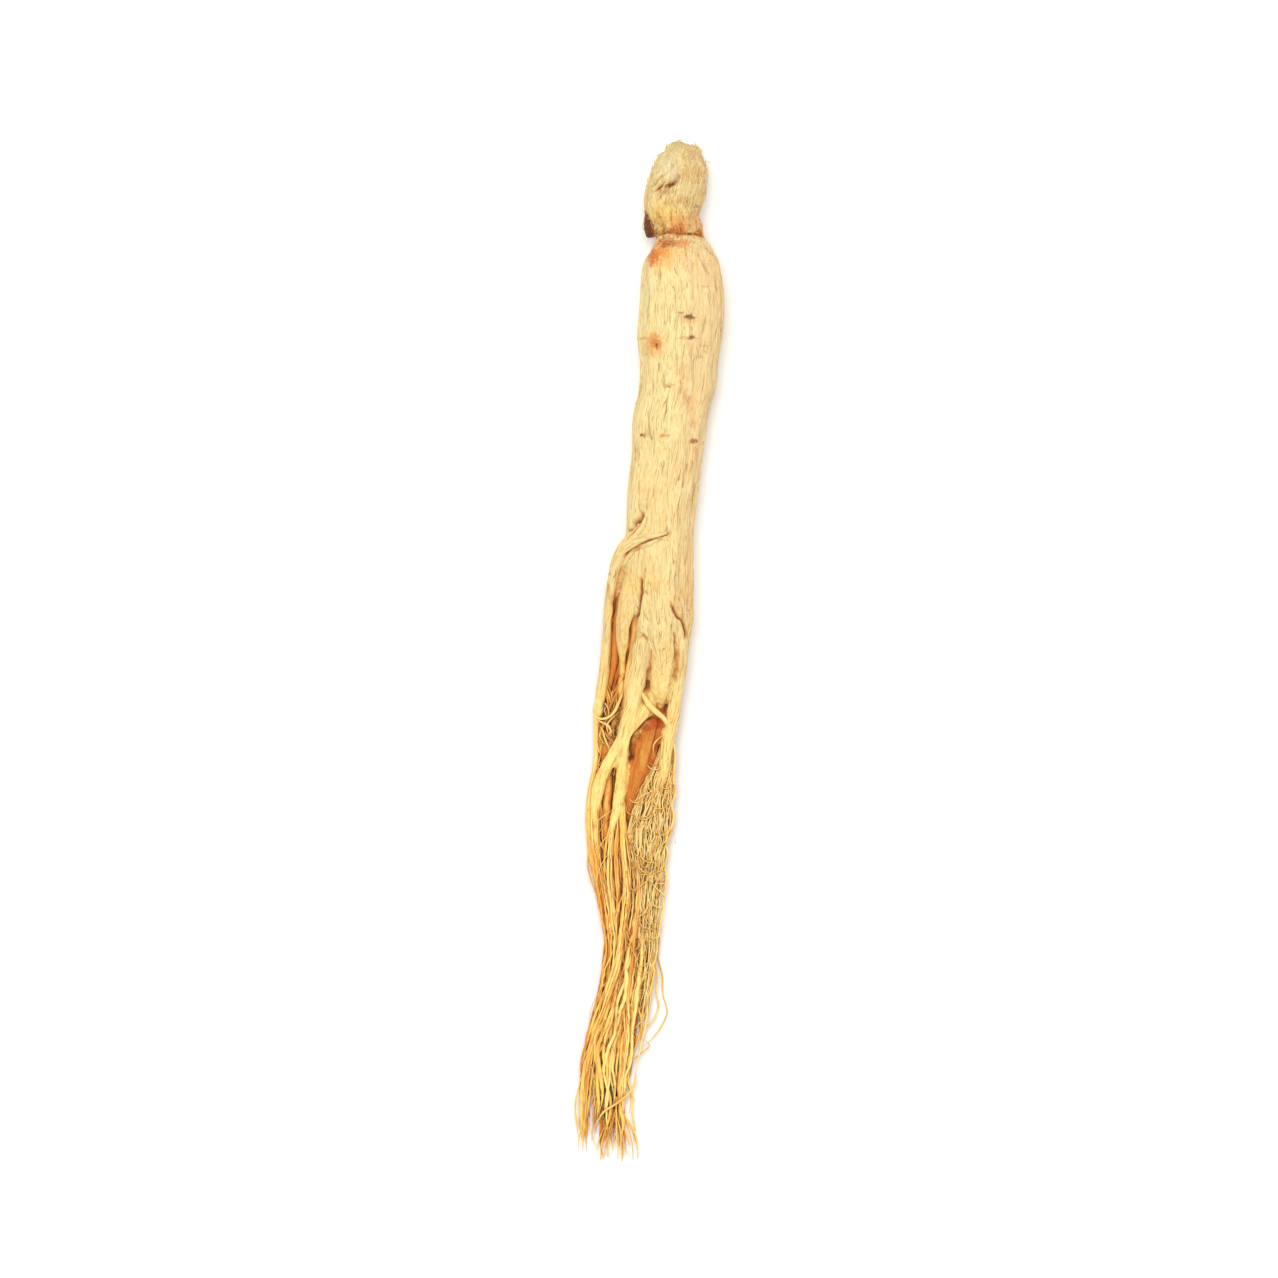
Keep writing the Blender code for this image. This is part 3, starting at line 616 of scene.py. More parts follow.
def make_shrunken_skin():
    """Furrows and swells over a skin whose grain is stored on its points."""
    tree, given, result = new_tree(
        "shrunken_skin",
        "GeometryNodeTree",
        [
            ("Geometry", "Geometry", None),
            ("Fine Cell", "Float", 1.9),
            ("Fine Length", "Float", 8.0),
            ("Fine Depth", "Float", 0.17),
            ("Long Cell", "Float", 3.4),
            ("Long Length", "Float", 17.0),
            ("Long Depth", "Float", 0.28),
            ("Swell Height", "Float", 0.5),
            ("Material", "Material", None),
        ],
        [("Geometry", "Geometry")],
    )
    # Width and sway of the furrows, how dark the fine ones are beside the long ones, and where long
    # ones are broken off
    fine_width, fine_sway, fine_share = 0.2, 0.5, 0.45
    long_width, long_sway = 0.12, 0.4
    break_cell, break_range = (3.1, 3.1, 13.0), (0.38, 0.56)
    swell_cell = (2.6, 2.6, 13.0)

    grain = stored(tree, "grain", "FLOAT_VECTOR")
    open_skin = maths(tree, "SUBTRACT", 1.0, stored(tree, "seam"))
    fine_cell, fine_length = given["Fine Cell"], given["Fine Length"]
    fine = lines_in(tree, furrow_lines, grain, fine_cell, fine_length, fine_width, fine_sway)
    long_cell, long_length = given["Long Cell"], given["Long Length"]
    long = lines_in(tree, furrow_lines, grain, long_cell, long_length, long_width, long_sway)
    broken = noise_along(tree, grain, break_cell, 1.0)
    long = maths(tree, "MULTIPLY", long, eased(tree, broken, *break_range))
    swell = noise_along(tree, grain, swell_cell, 1.0)
    height = maths(tree, "MULTIPLY", maths(tree, "SUBTRACT", swell, 0.5), given["Swell Height"])
    height = maths(tree, "SUBTRACT", height, maths(tree, "MULTIPLY", fine, given["Fine Depth"]))
    height = maths(tree, "SUBTRACT", height, maths(tree, "MULTIPLY", long, given["Long Depth"]))
    height = maths(tree, "MULTIPLY", height, open_skin)
    furrow = maths(tree, "MAXIMUM", maths(tree, "MULTIPLY", fine, fine_share), long)
    geometry = store(tree, given["Geometry"], "furrow", maths(tree, "MULTIPLY", furrow, open_skin))
    geometry = moved_along_normal(tree, geometry, height)
    tree.links.new(finished_mesh(tree, geometry, given["Material"]), result["Geometry"])
    return tree


shrunken_skin = make_shrunken_skin()


def run_nodes(piece, tree, sizes):
    """Runs a node tree on a piece and leaves the result as its plain mesh."""
    modifier = piece.modifiers.new(tree.name, "NODES")
    modifier.node_group = tree
    for item in tree.interface.items_tree:
        if item.in_out == "INPUT" and item.name in sizes:
            modifier[item.identifier] = sizes[item.name]
    finished = plain_mesh_of(piece)
    piece.modifiers.clear()
    piece.data = finished
    finished.name = piece.name


def paint(red, green, blue):
    """A colour as read off a screen, made linear for a shader."""
    screen = np.array((red, green, blue)) / 255.0
    linear = np.where(screen <= 0.04045, screen / 12.92, ((screen + 0.055) / 1.055) ** 2.4)
    return (*(float(part) for part in linear), 1.0)


def mixed(tree, share, first, second, blend="MIX"):
    """One colour mixed into another by a share."""
    return add_node(
        tree, "ShaderNodeMix", {0: share, 6: first, 7: second}, data_type="RGBA", blend_type=blend
    ).outputs[2]


# Skin colours by tone, from pale cream to deep orange
TONE_COLOURS = [
    (0.0, paint(227, 208, 145)),
    (0.18, paint(229, 202, 136)),
    (0.38, paint(228, 190, 108)),
    (0.62, paint(222, 158, 66)),
    (0.82, paint(204, 114, 34)),
    (1.0, paint(164, 82, 26)),
]
# What is laid over them: a cooler right side, pale and warm streaks, gold lower down, dark painted shade
# in the furrows, a warm painted shade in the hollows and a dark painted shade in the deepest of them
RIGHT_SIDE_TINT = paint(255, 243, 250)
PALE_STREAK = paint(240, 222, 176)
WARM_STREAK = paint(204, 156, 88)
GILDING = (1.32, 1.25, 0.84)
LINE_SHADE_COLOUR = paint(168, 112, 58)
FURROW_SHADE_COLOUR = paint(146, 96, 46)
WARM_SHADE_COLOUR = paint(196, 112, 36)
DEEP_SHADE_COLOUR = paint(70, 32, 10)


def make_dried_root_colours():
    """Colour with painted shade, roughness and fine relief of dried root, from what is stored on its points.
    """
    tree, given, result = new_tree(
        "dried_root_colours",
        "ShaderNodeTree",
        [
            ("Tone", "Float", 0.0),
            ("Line Strength", "Float", 0.5),
            ("Line Cell", "Float", 0.6),
            ("Furrow Strength", "Float", 0.8),
            ("Shade Strength", "Float", 1.0),
            ("Gold", "Float", 0.0),
            ("Warm Shade", "Float", 0.75),
        ],
        [("Colour", "Color"), ("Roughness", "Float"), ("Height", "Float")],
    )
    # Sizes across and along the grain of what the skin is patterned with
    patches_per_metre = 75.0
    blotch_cell = (1.7, 1.7, 5.0)
    streak_cell = (0.55, 0.55, 7.0)
    break_cell = (2.2, 2.2, 8.0)
    grit_cell = (0.22, 0.22, 0.7)

    grain = add_node(tree, "ShaderNodeAttribute", attribute_name="grain").outputs["Vector"]
    furrow = add_node(tree, "ShaderNodeAttribute", attribute_name="furrow").outputs["Fac"]
    shelter = add_node(tree, "ShaderNodeAttribute", attribute_name="shelter").outputs["Fac"]
    crease = add_node(tree, "ShaderNodeAttribute", attribute_name="crease").outputs["Fac"]
    place = tree.nodes.new("ShaderNodeTexCoord").outputs["Object"]
    patches = noise_at(tree, place, patches_per_metre, 2.0)
    blotches = noise_along(tree, grain, blotch_cell, 3.0)
    streaks = noise_along(tree, grain, streak_cell, 2.0)

    tone = maths(tree, "ADD", given["Tone"], eased(tree, patches, 0.35, 0.75, -0.05, 0.08))
    tone = maths(tree, "ADD", tone, eased(tree, blotches, 0.5, 0.85, 0.0, 0.14))
    tones = add_node(tree, "ShaderNodeValToRGB", {"Fac": tone})
    stops = tones.color_ramp.elements
    stops[0].color = TONE_COLOURS[0][1]
    stops[1].color = TONE_COLOURS[-1][1]
    for stop_tone, stop_colour in TONE_COLOURS[1:-1]:
        stops.new(stop_tone).color = stop_colour
    colour = tones.outputs["Color"]
    sides = add_node(tree, "ShaderNodeSeparateXYZ", {0: place}).outputs
    right = maths(tree, "ADD", sides[0], eased(tree, patches, 0.3, 0.7, -0.005, 0.005))
    right = eased(tree, right, 0.004, 0.014, 0.0, 0.8)
    colour = mixed(tree, right, colour, RIGHT_SIDE_TINT, "MULTIPLY")
    pale = maths(tree, "MULTIPLY", eased(tree, streaks, 0.5, 0.7), eased(tree, tone, 0.0, 0.9, 0.4, 0.08))
    colour = mixed(tree, pale, colour, PALE_STREAK)
    warm = maths(tree, "MULTIPLY", eased(tree, streaks, 0.47, 0.27), 0.3)
    colour = mixed(tree, warm, colour, WARM_STREAK)
    gilded = vector_maths(tree, "MULTIPLY", colour, GILDING)
    gilding = maths(tree, "MULTIPLY", given["Gold"], eased(tree, sides[1], 0.012, -0.032))
    gilding = maths(tree, "MULTIPLY", gilding, eased(tree, tone, 0.85, 0.35, 0.2, 1.0))
    colour = mixed(tree, gilding, colour, gilded)

    # Long thin lines that break off here and there, and shorter ones half as dark between them: painted
    # shade in the fine grooves that the same lines press into the bump
    cell = given["Line Cell"]
    lines = lines_in(tree, furrow_shading, grain, cell, maths(tree, "MULTIPLY", cell, 9.0), 0.12, 0.6)
    broken = eased(tree, noise_along(tree, grain, break_cell, 1.0), 0.36, 0.6)
    lines = maths(tree, "MULTIPLY", lines, maths(tree, "ADD", maths(tree, "MULTIPLY", broken, 0.75), 0.25))
    thin_cell = maths(tree, "MULTIPLY", cell, 0.55)
    thin = lines_in(tree, furrow_shading, grain, thin_cell, maths(tree, "MULTIPLY", cell, 3.6), 0.14, 0.4)
    lines = maths(tree, "MAXIMUM", lines, maths(tree, "MULTIPLY", thin, 0.5))
    colour = mixed(tree, maths(tree, "MULTIPLY", lines, given["Line Strength"]), colour, LINE_SHADE_COLOUR)
    # Painted shade in the furrows of the mesh
    furrow_shade_share = maths(tree, "MULTIPLY", maths(tree, "POWER", furrow, 1.6), given["Furrow Strength"], clamp=True)
    colour = mixed(tree, furrow_shade_share, colour, FURROW_SHADE_COLOUR)
    # Painted shade: a warm orange where neighbours or a crease close the skin in, dark brown in the deepest
    shade = maths(tree, "MULTIPLY", shelter, given["Shade Strength"])
    painted_shade_depth = maths(tree, "MAXIMUM", shade, crease)
    warm_shade_share = maths(tree, "MULTIPLY", eased(tree, painted_shade_depth, 0.3, 0.75), given["Warm Shade"])
    colour = mixed(tree, warm_shade_share, colour, WARM_SHADE_COLOUR)
    deep_shade_share = maths(tree, "MULTIPLY", eased(tree, painted_shade_depth, 0.66, 1.05), 0.9)
    colour = mixed(tree, deep_shade_share, colour, DEEP_SHADE_COLOUR)
    tree.links.new(colour, result["Colour"])

    roughness = eased(tree, blotches, 0.3, 0.7, 0.58, 0.78)
    tree.links.new(roughness, result["Roughness"])
    grit = noise_along(tree, grain, grit_cell, 2.0)
    height = maths(tree, "ADD", maths(tree, "MULTIPLY", streaks, 0.5), maths(tree, "MULTIPLY", grit, 0.22))
    height = maths(tree, "SUBTRACT", height, maths(tree, "MULTIPLY", lines, 0.6))
    tree.links.new(height, result["Height"])
    return tree


furrow_shading = make_furrow_lines("ShaderNodeTree")
dried_root_colours = make_dried_root_colours()


def make_mark():
    """A ragged oval mark on the side that is seen, 1 in its middle and 0 outside."""
    tree, given, result = new_tree(
        "ragged_mark",
        "ShaderNodeTree",
        [
            ("Middle", "Vector", None),
            ("Half Size", "Vector", None),
            ("Ragged", "Float", 0.8),
        ],
        [("Mark", "Float")],
    )
    # Noise cells to a millimetre of the ragged edge and of the speckles, and where the mark is full
    edge_scale = 0.9
    speckle_scale = 2.6
    full_within = 0.35

    place = scaled(tree, tree.nodes.new("ShaderNodeTexCoord").outputs["Object"], 1.0 / MM)
    away = vector_maths(tree, "SUBTRACT", place, given["Middle"])
    away = vector_maths(tree, "DIVIDE", away, given["Half Size"])
    edge = scaled(tree, spread_noise(tree, place, edge_scale, 3.0), given["Ragged"])
    away = vector_maths(tree, "ADD", away, edge)
    reach = add_node(tree, "ShaderNodeVectorMath", {0: away}, operation="LENGTH").outputs["Value"]
    speckle = eased(tree, noise_at(tree, place, speckle_scale, 2.0), 0.36, 0.58, 0.5, 1.0)
    mark = maths(tree, "MULTIPLY", eased(tree, reach, 1.0, full_within), speckle)
    tree.links.new(mark, result["Mark"])
    return tree


ragged_mark = make_mark()

# Scars and stains on the side that is seen: middle in X and Y, half length and half width, how ragged
# the edge is, colour, strength, and how far it dents the skin
SCARS = [
    ((10.4, 99.6), (4.6, 2.0), 1.6, paint(206, 146, 84), 0.55, 0.0),
    ((11.0, 99.9), (2.2, 1.1), 1.7, paint(92, 46, 22), 1.0, 0.5),
    ((8.6, 101.2), (1.8, 0.6), 1.6, paint(150, 92, 50), 0.65, 0.2),
    ((10.4, 93.8), (4.2, 0.75), 1.6, paint(176, 112, 58), 0.6, 0.3),
    ((11.7, 94.0), (1.2, 1.1), 1.5, paint(108, 54, 24), 0.9, 0.4),
    ((0.2, 92.6), (5.0, 5.2), 1.2, paint(226, 166, 86), 0.75, 0.0),
    ((0.8, 92.6), (3.2, 3.8), 1.4, paint(214, 138, 60), 0.8, 0.0),
    ((1.1, 92.2), (1.4, 2.1), 1.7, paint(180, 88, 32), 0.85, 0.2),
    ((1.5, 92.0), (0.7, 0.9), 1.5, paint(112, 52, 20), 0.85, 0.3),
    ((-2.6, 94.0), (1.9, 0.6), 1.5, paint(170, 110, 60), 0.6, 0.2),
    ((5.1, 80.2), (2.3, 0.7), 1.7, paint(186, 130, 80), 0.6, 0.2),
    ((4.9, 79.6), (0.8, 0.7), 1.5, paint(122, 70, 36), 0.65, 0.2),
    ((-2.8, 65.5), (1.15, 1.25), 1.4, paint(150, 78, 28), 0.9, 0.3),
    ((-3.0, 65.7), (0.6, 0.7), 1.3, paint(84, 38, 14), 0.95, 0.4),
    ((3.6, 65.2), (2.3, 0.8), 1.7, paint(196, 112, 52), 0.75, 0.2),
    ((12.2, 63.6), (1.9, 1.1), 1.5, paint(160, 70, 26), 0.9, 0.3),
    ((12.6, 63.4), (0.9, 0.7), 1.4, paint(92, 36, 14), 0.9, 0.3),
    ((12.9, 60.6), (1.2, 3.0), 1.8, paint(216, 140, 78), 0.65, 0.0),
    ((11.3, 46.5), (1.2, 1.0), 1.5, paint(214, 146, 96), 0.55, 0.1),
    ((2.6, 118.6), (8.5, 7.0), 1.2, paint(230, 174, 84), 0.75, 0.0),
    ((1.2, 120.2), (5.6, 5.6), 1.4, paint(220, 134, 52), 0.9, 0.0),
    ((0.0, 118.6), (2.9, 4.8), 1.7, paint(196, 94, 30), 0.9, 0.1),
    ((4.8, 122.2), (5.2, 2.4), 1.7, paint(164, 76, 26), 0.9, 0.2),
    ((9.4, 121.8), (3.4, 2.2), 1.7, paint(212, 126, 50), 0.8, 0.1),
    ((11.8, 73.0), (1.6, 8.0), 1.9, paint(222, 164, 104), 0.55, 0.0),
    ((8.8, 84.5), (1.1, 5.0), 1.9, paint(210, 150, 88), 0.5, 0.0),
    ((9.8, 76.5), (1.2, 3.4), 1.9, paint(206, 138, 78), 0.5, 0.0),
    ((15.6, 109.0), (1.8, 0.5), 1.5, paint(190, 140, 88), 0.5, 0.2),
    ((15.4, 91.6), (1.8, 0.5), 1.5, paint(184, 132, 78), 0.5, 0.2),
    ((12.6, 50.2), (1.5, 0.6), 1.5, paint(204, 142, 92), 0.5, 0.1),
    ((-7.0, 57.0), (1.0, 0.5), 1.3, paint(170, 112, 64), 0.5, 0.2),
    ((-1.6, 46.6), (1.0, 0.6), 1.5, paint(186, 124, 66), 0.5, 0.1),
]
# Marks on the orange leg that lies behind the others: a painted highlight down its middle, painted
# shadow along the lower edge of the web over it, and stains
BACK_LEG_STAINS_AND_PAINTED_LIGHT = [
    # Painted highlight down the middle of the leg
    ((-1.0, -25.4), (1.6, 4.4), 1.4, paint(204, 140, 50), 0.85, 0.0),
    ((-2.6, -30.2), (1.5, 4.8), 1.4, paint(214, 152, 60), 0.9, 0.0),
    ((-4.6, -36.4), (1.3, 5.2), 1.4, paint(204, 136, 46), 0.8, 0.0),
    ((-5.6, -41.4), (1.1, 3.8), 1.4, paint(206, 128, 42), 0.7, 0.0),
    # Painted shadow along the lower edge of the web that lies over the leg
    ((1.4, -19.6), (2.6, 2.6), 1.6, paint(170, 62, 12), 0.9, 0.1),
    ((-1.6, -20.9), (2.4, 1.5), 1.5, paint(166, 70, 18), 0.85, 0.1),
    ((-4.0, -23.2), (1.7, 1.9), 1.5, paint(150, 66, 20), 0.85, 0.1),
    # Stains
    ((-0.2, -31.2), (1.1, 2.2), 1.6, paint(160, 54, 12), 0.9, 0.1),
    ((-5.4, -26.6), (1.0, 2.6), 1.5, paint(168, 80, 22), 0.75, 0.1),
    ((0.8, -26.0), (0.9, 3.2), 1.7, paint(178, 76, 20), 0.7, 0.1),
]
# Height of the middle of the marks and how far up and down they reach
UPPER_MARKS = (20.0, 14.0)
LOWER_MARKS = (8.0, 4.0)
BUMP_STRENGTH = 0.8
SKIN_SPECULAR = 0.35


def make_root_material(
    name, marks, line_strength, line_cell, furrow_strength, shade_strength, gold, relief, warm_shade=0.75
):
    """Dried root skin with its own marks, given as pairs of (middle height, reach) and lists of scars,
    stains and painted light.
    """
    material = bpy.data.materials.new(name)
    material.use_nodes = True
    tree = material.node_tree
    skin = tree.nodes["Principled BSDF"]
    tone = add_node(tree, "ShaderNodeAttribute", attribute_name="tone").outputs["Fac"]
    looks = {
        "Tone": tone,
        "Line Strength": line_strength,
        "Line Cell": line_cell,
        "Furrow Strength": furrow_strength,
        "Shade Strength": shade_strength,
        "Gold": gold,
        "Warm Shade": warm_shade,
    }
    colours = add_node(tree, "ShaderNodeGroup", looks, node_tree=dried_root_colours).outputs
    colour = colours["Colour"]
    height = colours["Height"]
    for (middle_height, reach), scars in marks:
        for (x, y), (half_length, half_width), ragged, tint, strength, dent in scars:
            oval = {
                "Middle": (x, y, middle_height),
                "Half Size": (half_length, half_width, reach),
                "Ragged": ragged,
            }
            shown = add_node(tree, "ShaderNodeGroup", oval, node_tree=ragged_mark).outputs["Mark"]
            colour = mixed(tree, maths(tree, "MULTIPLY", shown, strength), colour, tint)
            height = maths(tree, "SUBTRACT", height, maths(tree, "MULTIPLY", shown, dent))
    tree.links.new(colour, skin.inputs["Base Color"])
    tree.links.new(colours["Roughness"], skin.inputs["Roughness"])
    raised = {"Height": height, "Distance": relief * MM, "Strength": BUMP_STRENGTH}
    tree.links.new(add_node(tree, "ShaderNodeBump", raised).outputs["Normal"], skin.inputs["Normal"])
    skin.inputs["Specular IOR Level"].default_value = SKIN_SPECULAR
    return material


def lay_down(piece):
    """Flattens what would lie below the surface that the root rests on."""
    points = points_of(piece.data)
    points[:, 2] = np.maximum(points[:, 2], 0.0)
    piece.data.vertices.foreach_set("co", (points * MM).astype(np.float32).ravel())
    piece.data.update()


def finish_piece(piece):
    """Attaches the piece to the root's body and hides the imported ginseng_root part."""
    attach(piece, "root")
    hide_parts("ginseng_root")


main_root = main_root_limb(SHOULDER_TO_TIP, MAIN_ROOT_SPACING, MAIN_ROOT_TONES)
skin_maker = bmesh.new()
add_closed_tube(skin_maker, limb_rings(main_root, MAIN_ROOT_SIDES, 1.0))
skin_limbs = [main_root]
for leg_name, (lowest, tone_at_top, tone_at_end) in FLESHY_LEGS.items():
    leg_rows = smooth_route(LEGS[leg_name], LEG_SPACING)
    leg_rows = leg_rows[leg_rows[:, 1] > lowest]
    if lowest > TO_ITS_END:
        thinned = smooth_step(leg_rows[:, 1], lowest, lowest + LEG_END_LENGTH)
        leg_rows[:, 3] *= LEG_END_SHARE + (1.0 - LEG_END_SHARE) * thinned
    leg = Limb(leg_rows[:, :3], leg_rows[:, 3], leg_rows[:, 3], (tone_at_top, tone_at_end))
    add_closed_tube(skin_maker, limb_rings(leg, LEG_SIDES, LEG_RELIEF))
    skin_limbs.append(leg)
root_skin = grown_together("main_root_and_legs", skin_maker, SKIN_VOXEL, SKIN_SMOOTHING)
follow_limbs(root_skin.data, skin_limbs)
cut_creases(root_skin.data, [(CREASES_ABOVE, CREASES), (LOW_CREASES_ABOVE, LOW_CREASES)])
skin_marks = [(UPPER_MARKS, SCARS), (LOWER_MARKS, BACK_LEG_STAINS_AND_PAINTED_LIGHT)]
skin_material = make_root_material("cream_root_skin", skin_marks, 0.8, 0.9, 0.6, 1.0, 0.7, 0.26)
run_nodes(root_skin, shrunken_skin, {"Material": skin_material})
lay_down(root_skin)
root_pieces = [root_skin]


# Head. The real piece is the knobbly stub that last year's stem grew from: fibrous bark with a raised
# stem scar on its upper left, folds under it, and a ragged collar where it meets the shoulder.

# Along Y, left edge, right edge, thickness and height of the underside
HEAD = [
    (152.0, 7.4, 10.2, 1.6, 8.4),
    (151.2, 4.8, 12.4, 5.5, 6.4),
    (149.1, 3.2, 14.3, 10.5, 4.0),
    (147.0, 1.5, 15.5, 13.0, 2.9),
    (143.2, 0.2, 16.2, 15.0, 2.0),
    (137.9, -1.3, 15.1, 15.6, 1.7),
    (132.6, -1.8, 13.8, 14.8, 2.0),
    (128.4, 0.2, 13.9, 14.0, 2.4),
    (124.8, 0.7, 14.2, 13.4, 2.8),
    (123.7, 1.6, 12.8, 11.0, 4.0),
    (121.0, 4.0, 10.4, 6.0, 6.4),
]
HEAD_TONES = (0.0, 0.2)
# X, Y, Z and radius of the dark flake that stands out low on the left of the head
NECK_FLANGE = [
    (0.6, 133.4, 8.6, 1.3), (-0.1, 131.2, 9.0, 1.8), (-0.5, 128.4, 9.2, 1.9),
    (-0.5, 126.0, 9.0, 1.8), (-0.3, 124.0, 8.6, 1.3),
]
# X, Y, Z, the three radii and the turn in degrees of the stem scar and of the lumps all round
HEAD_LUMPS = [
    (4.6, 143.6, 13.4, 3.5, 6.4, 3.2, -32),
    (2.2, 141.0, 11.4, 2.2, 5.0, 2.6, -30),
    (12.2, 144.6, 11.4, 3.4, 4.6, 3.6, 20),
    (12.7, 138.4, 10.0, 2.6, 3.6, 3.6, 0),
    (9.4, 148.4, 10.6, 3.8, 2.8, 3.2, 0),
    (8.8, 137.6, 13.8, 3.0, 4.2, 2.6, -20),
    (3.8, 132.8, 13.2, 2.8, 3.6, 2.4, -24),
    (9.6, 131.4, 13.2, 3.0, 3.4, 2.6, 10),
    (11.6, 129.4, 10.6, 2.4, 3.2, 2.8, 0),
    (5.4, 128.2, 12.6, 2.4, 2.8, 2.2, 0),
    (1.6, 129.6, 10.4, 2.0, 3.0, 2.4, 0),
    (10.6, 127.0, 12.6, 2.2, 2.2, 2.0, 0),
    (1.2, 135.6, 9.8, 2.2, 3.4, 3.4, 0),
    (12.8, 133.6, 8.6, 1.8, 3.4, 3.0, 0),
    (2.6, 141.4, 4.6, 3.0, 4.2, 2.8, 10),
    (12.2, 138.4, 4.8, 3.4, 4.0, 3.0, -15),
    (7.2, 146.6, 4.6, 3.6, 3.0, 2.6, 0),
    (7.0, 132.6, 3.6, 3.8, 3.8, 2.2, 20),
    (11.2, 130.0, 4.6, 2.4, 3.0, 2.4, 0),
]
HEAD_CREASES = [
    ([(3.0, 138.2), (4.6, 138.5), (6.2, 139.4), (7.6, 140.9), (8.4, 143.2)], 1.9, 0.62),
    ([(4.9, 140.4), (2.8, 139.2), (1.4, 137.6), (-0.4, 136.6)], 1.1, 0.4),
    ([(4.2, 142.4), (2.4, 141.4), (0.8, 139.4), (-0.8, 138.6)], 0.8, 0.36),
    ([(3.4, 145.0), (1.8, 143.4), (0.2, 141.4)], 0.7, 0.36),
    ([(6.8, 146.9), (5.0, 146.6), (3.2, 145.2)], 0.5, 0.36),
    ([(4.4, 137.0), (2.6, 135.8), (0.8, 134.2)], 0.8, 0.36),
    ([(-1.2, 136.0), (0.2, 135.4), (1.8, 135.6)], 0.4, 0.4),
    ([(9.0, 144.6), (9.6, 142.6), (9.3, 141.2)], 0.4, 0.45),
    ([(13.6, 146.6), (14.0, 143.6), (14.1, 140.4), (13.6, 137.6)], 0.5, 0.4),
    ([(6.2, 137.0), (6.6, 135.4), (6.2, 134.0)], 0.35, 0.4),
    ([(1.8, 132.6), (1.7, 130.8)], 0.45, 0.35),
    ([(1.9, 129.6), (1.8, 127.6)], 0.5, 0.35),
    ([(7.4, 132.6), (7.6, 130.4)], 0.4, 0.35),
    ([(4.2, 128.6), (4.6, 127.2)], 0.45, 0.35),
    ([(11.6, 131.6), (12.0, 128.6)], 0.3, 0.35),
    ([(0.4, 124.2), (4.0, 123.9), (7.2, 123.5), (10.4, 123.9), (14.0, 124.5)], 1.8, 0.75),
]
HEAD_SCARS = [
    ((6.2, 144.6), (0.6, 0.9), 1.2, paint(116, 84, 56), 0.9, 0.5),
    ((3.6, 130.4), (7.5, 5.4), 1.0, paint(232, 192, 96), 0.8, 0.0),
    ((7.4, 127.2), (5.8, 4.4), 1.4, paint(222, 144, 74), 0.9, 0.1),
    ((7.4, 125.8), (3.6, 3.0), 1.7, paint(196, 90, 34), 0.9, 0.3),
    ((12.4, 128.2), (4.2, 5.0), 1.4, paint(214, 158, 98), 0.8, 0.1),
    ((2.0, 128.0), (2.2, 4.6), 1.6, paint(204, 150, 66), 0.7, 0.1),
    ((4.2, 145.6), (6.4, 7.4), 1.1, paint(230, 210, 168), 0.75, 0.0),
    ((7.0, 142.0), (1.5, 3.2), 1.1, paint(238, 210, 178), 0.8, 0.0),
    ((10.6, 142.4), (3.2, 4.4), 1.7, paint(214, 164, 92), 0.55, 0.1),
    ((13.9, 141.6), (1.2, 4.4), 1.7, paint(190, 134, 70), 0.6, 0.2),
    ((12.2, 148.4), (3.6, 2.8), 1.8, paint(206, 160, 100), 0.6, 0.2),
    ((4.0, 137.0), (4.4, 1.2), 1.7, paint(190, 140, 72), 0.65, 0.2),
    ((9.6, 134.4), (3.4, 2.2), 1.8, paint(208, 160, 84), 0.6, 0.1),
    ((4.4, 133.6), (2.4, 1.2), 1.8, paint(178, 138, 66), 0.6, 0.2),
    ((3.4, 126.2), (1.1, 2.2), 1.7, paint(150, 84, 36), 0.75, 0.4),
    ((5.6, 129.6), (0.5, 1.8), 1.4, paint(150, 92, 46), 0.7, 0.4),
    ((9.2, 129.2), (0.5, 1.6), 1.4, paint(158, 92, 46), 0.6, 0.4),
    ((11.2, 126.6), (0.5, 1.6), 1.4, paint(150, 80, 36), 0.7, 0.4),
]
# Dark band low on the left side of the head
HEAD_SIDE_DARK_BAND = [
    ((-1.8, 127.0), (3.4, 7.2), 0.9, paint(124, 74, 42), 1.0, 0.2),
    ((-1.2, 126.6), (2.2, 5.2), 1.2, paint(88, 50, 30), 0.85, 0.3),
]
SIDE_MARKS = (9.0, 7.0)
HEAD_SPACING = 0.7
HEAD_SIDES = 72
FLANGE_SIDES = 20
FLANGE_RELIEF = 0.5
FLANGE_TONES = (0.8, 0.95)
HEAD_CREASES_ABOVE = 8.0
HEAD_VOXEL = 0.27
HEAD_SMOOTHING = 3

head_maker = bmesh.new()
head_limb = main_root_limb(HEAD, HEAD_SPACING, HEAD_TONES)
add_closed_tube(head_maker, limb_rings(head_limb, HEAD_SIDES, 1.0))
flange_rows = smooth_route(NECK_FLANGE, HEAD_SPACING)
flange = Limb(flange_rows[:, :3], flange_rows[:, 3], flange_rows[:, 3], FLANGE_TONES)
add_closed_tube(head_maker, limb_rings(flange, FLANGE_SIDES, FLANGE_RELIEF))
for x, y, z, wide, long, high, turn in HEAD_LUMPS:
    lump_place = Matrix.Translation(Vector((x, y, z)) * MM) @ Matrix.Rotation(math.radians(turn), 4, "Z")
    lump_place = lump_place @ Matrix.Diagonal((wide * MM, long * MM, high * MM, 1.0))
    bmesh.ops.create_uvsphere(head_maker, u_segments=24, v_segments=14, radius=1.0, matrix=lump_place)
head = grown_together("head", head_maker, HEAD_VOXEL, HEAD_SMOOTHING)
follow_limbs(head.data, [head_limb, flange])
cut_creases(head.data, [(HEAD_CREASES_ABOVE, HEAD_CREASES)])
head_marks = [(UPPER_MARKS, HEAD_SCARS), (SIDE_MARKS, HEAD_SIDE_DARK_BAND)]
head_material = make_root_material("fibrous_head_bark", head_marks, 0.75, 0.5, 0.45, 0.25, 0.0, 0.5)
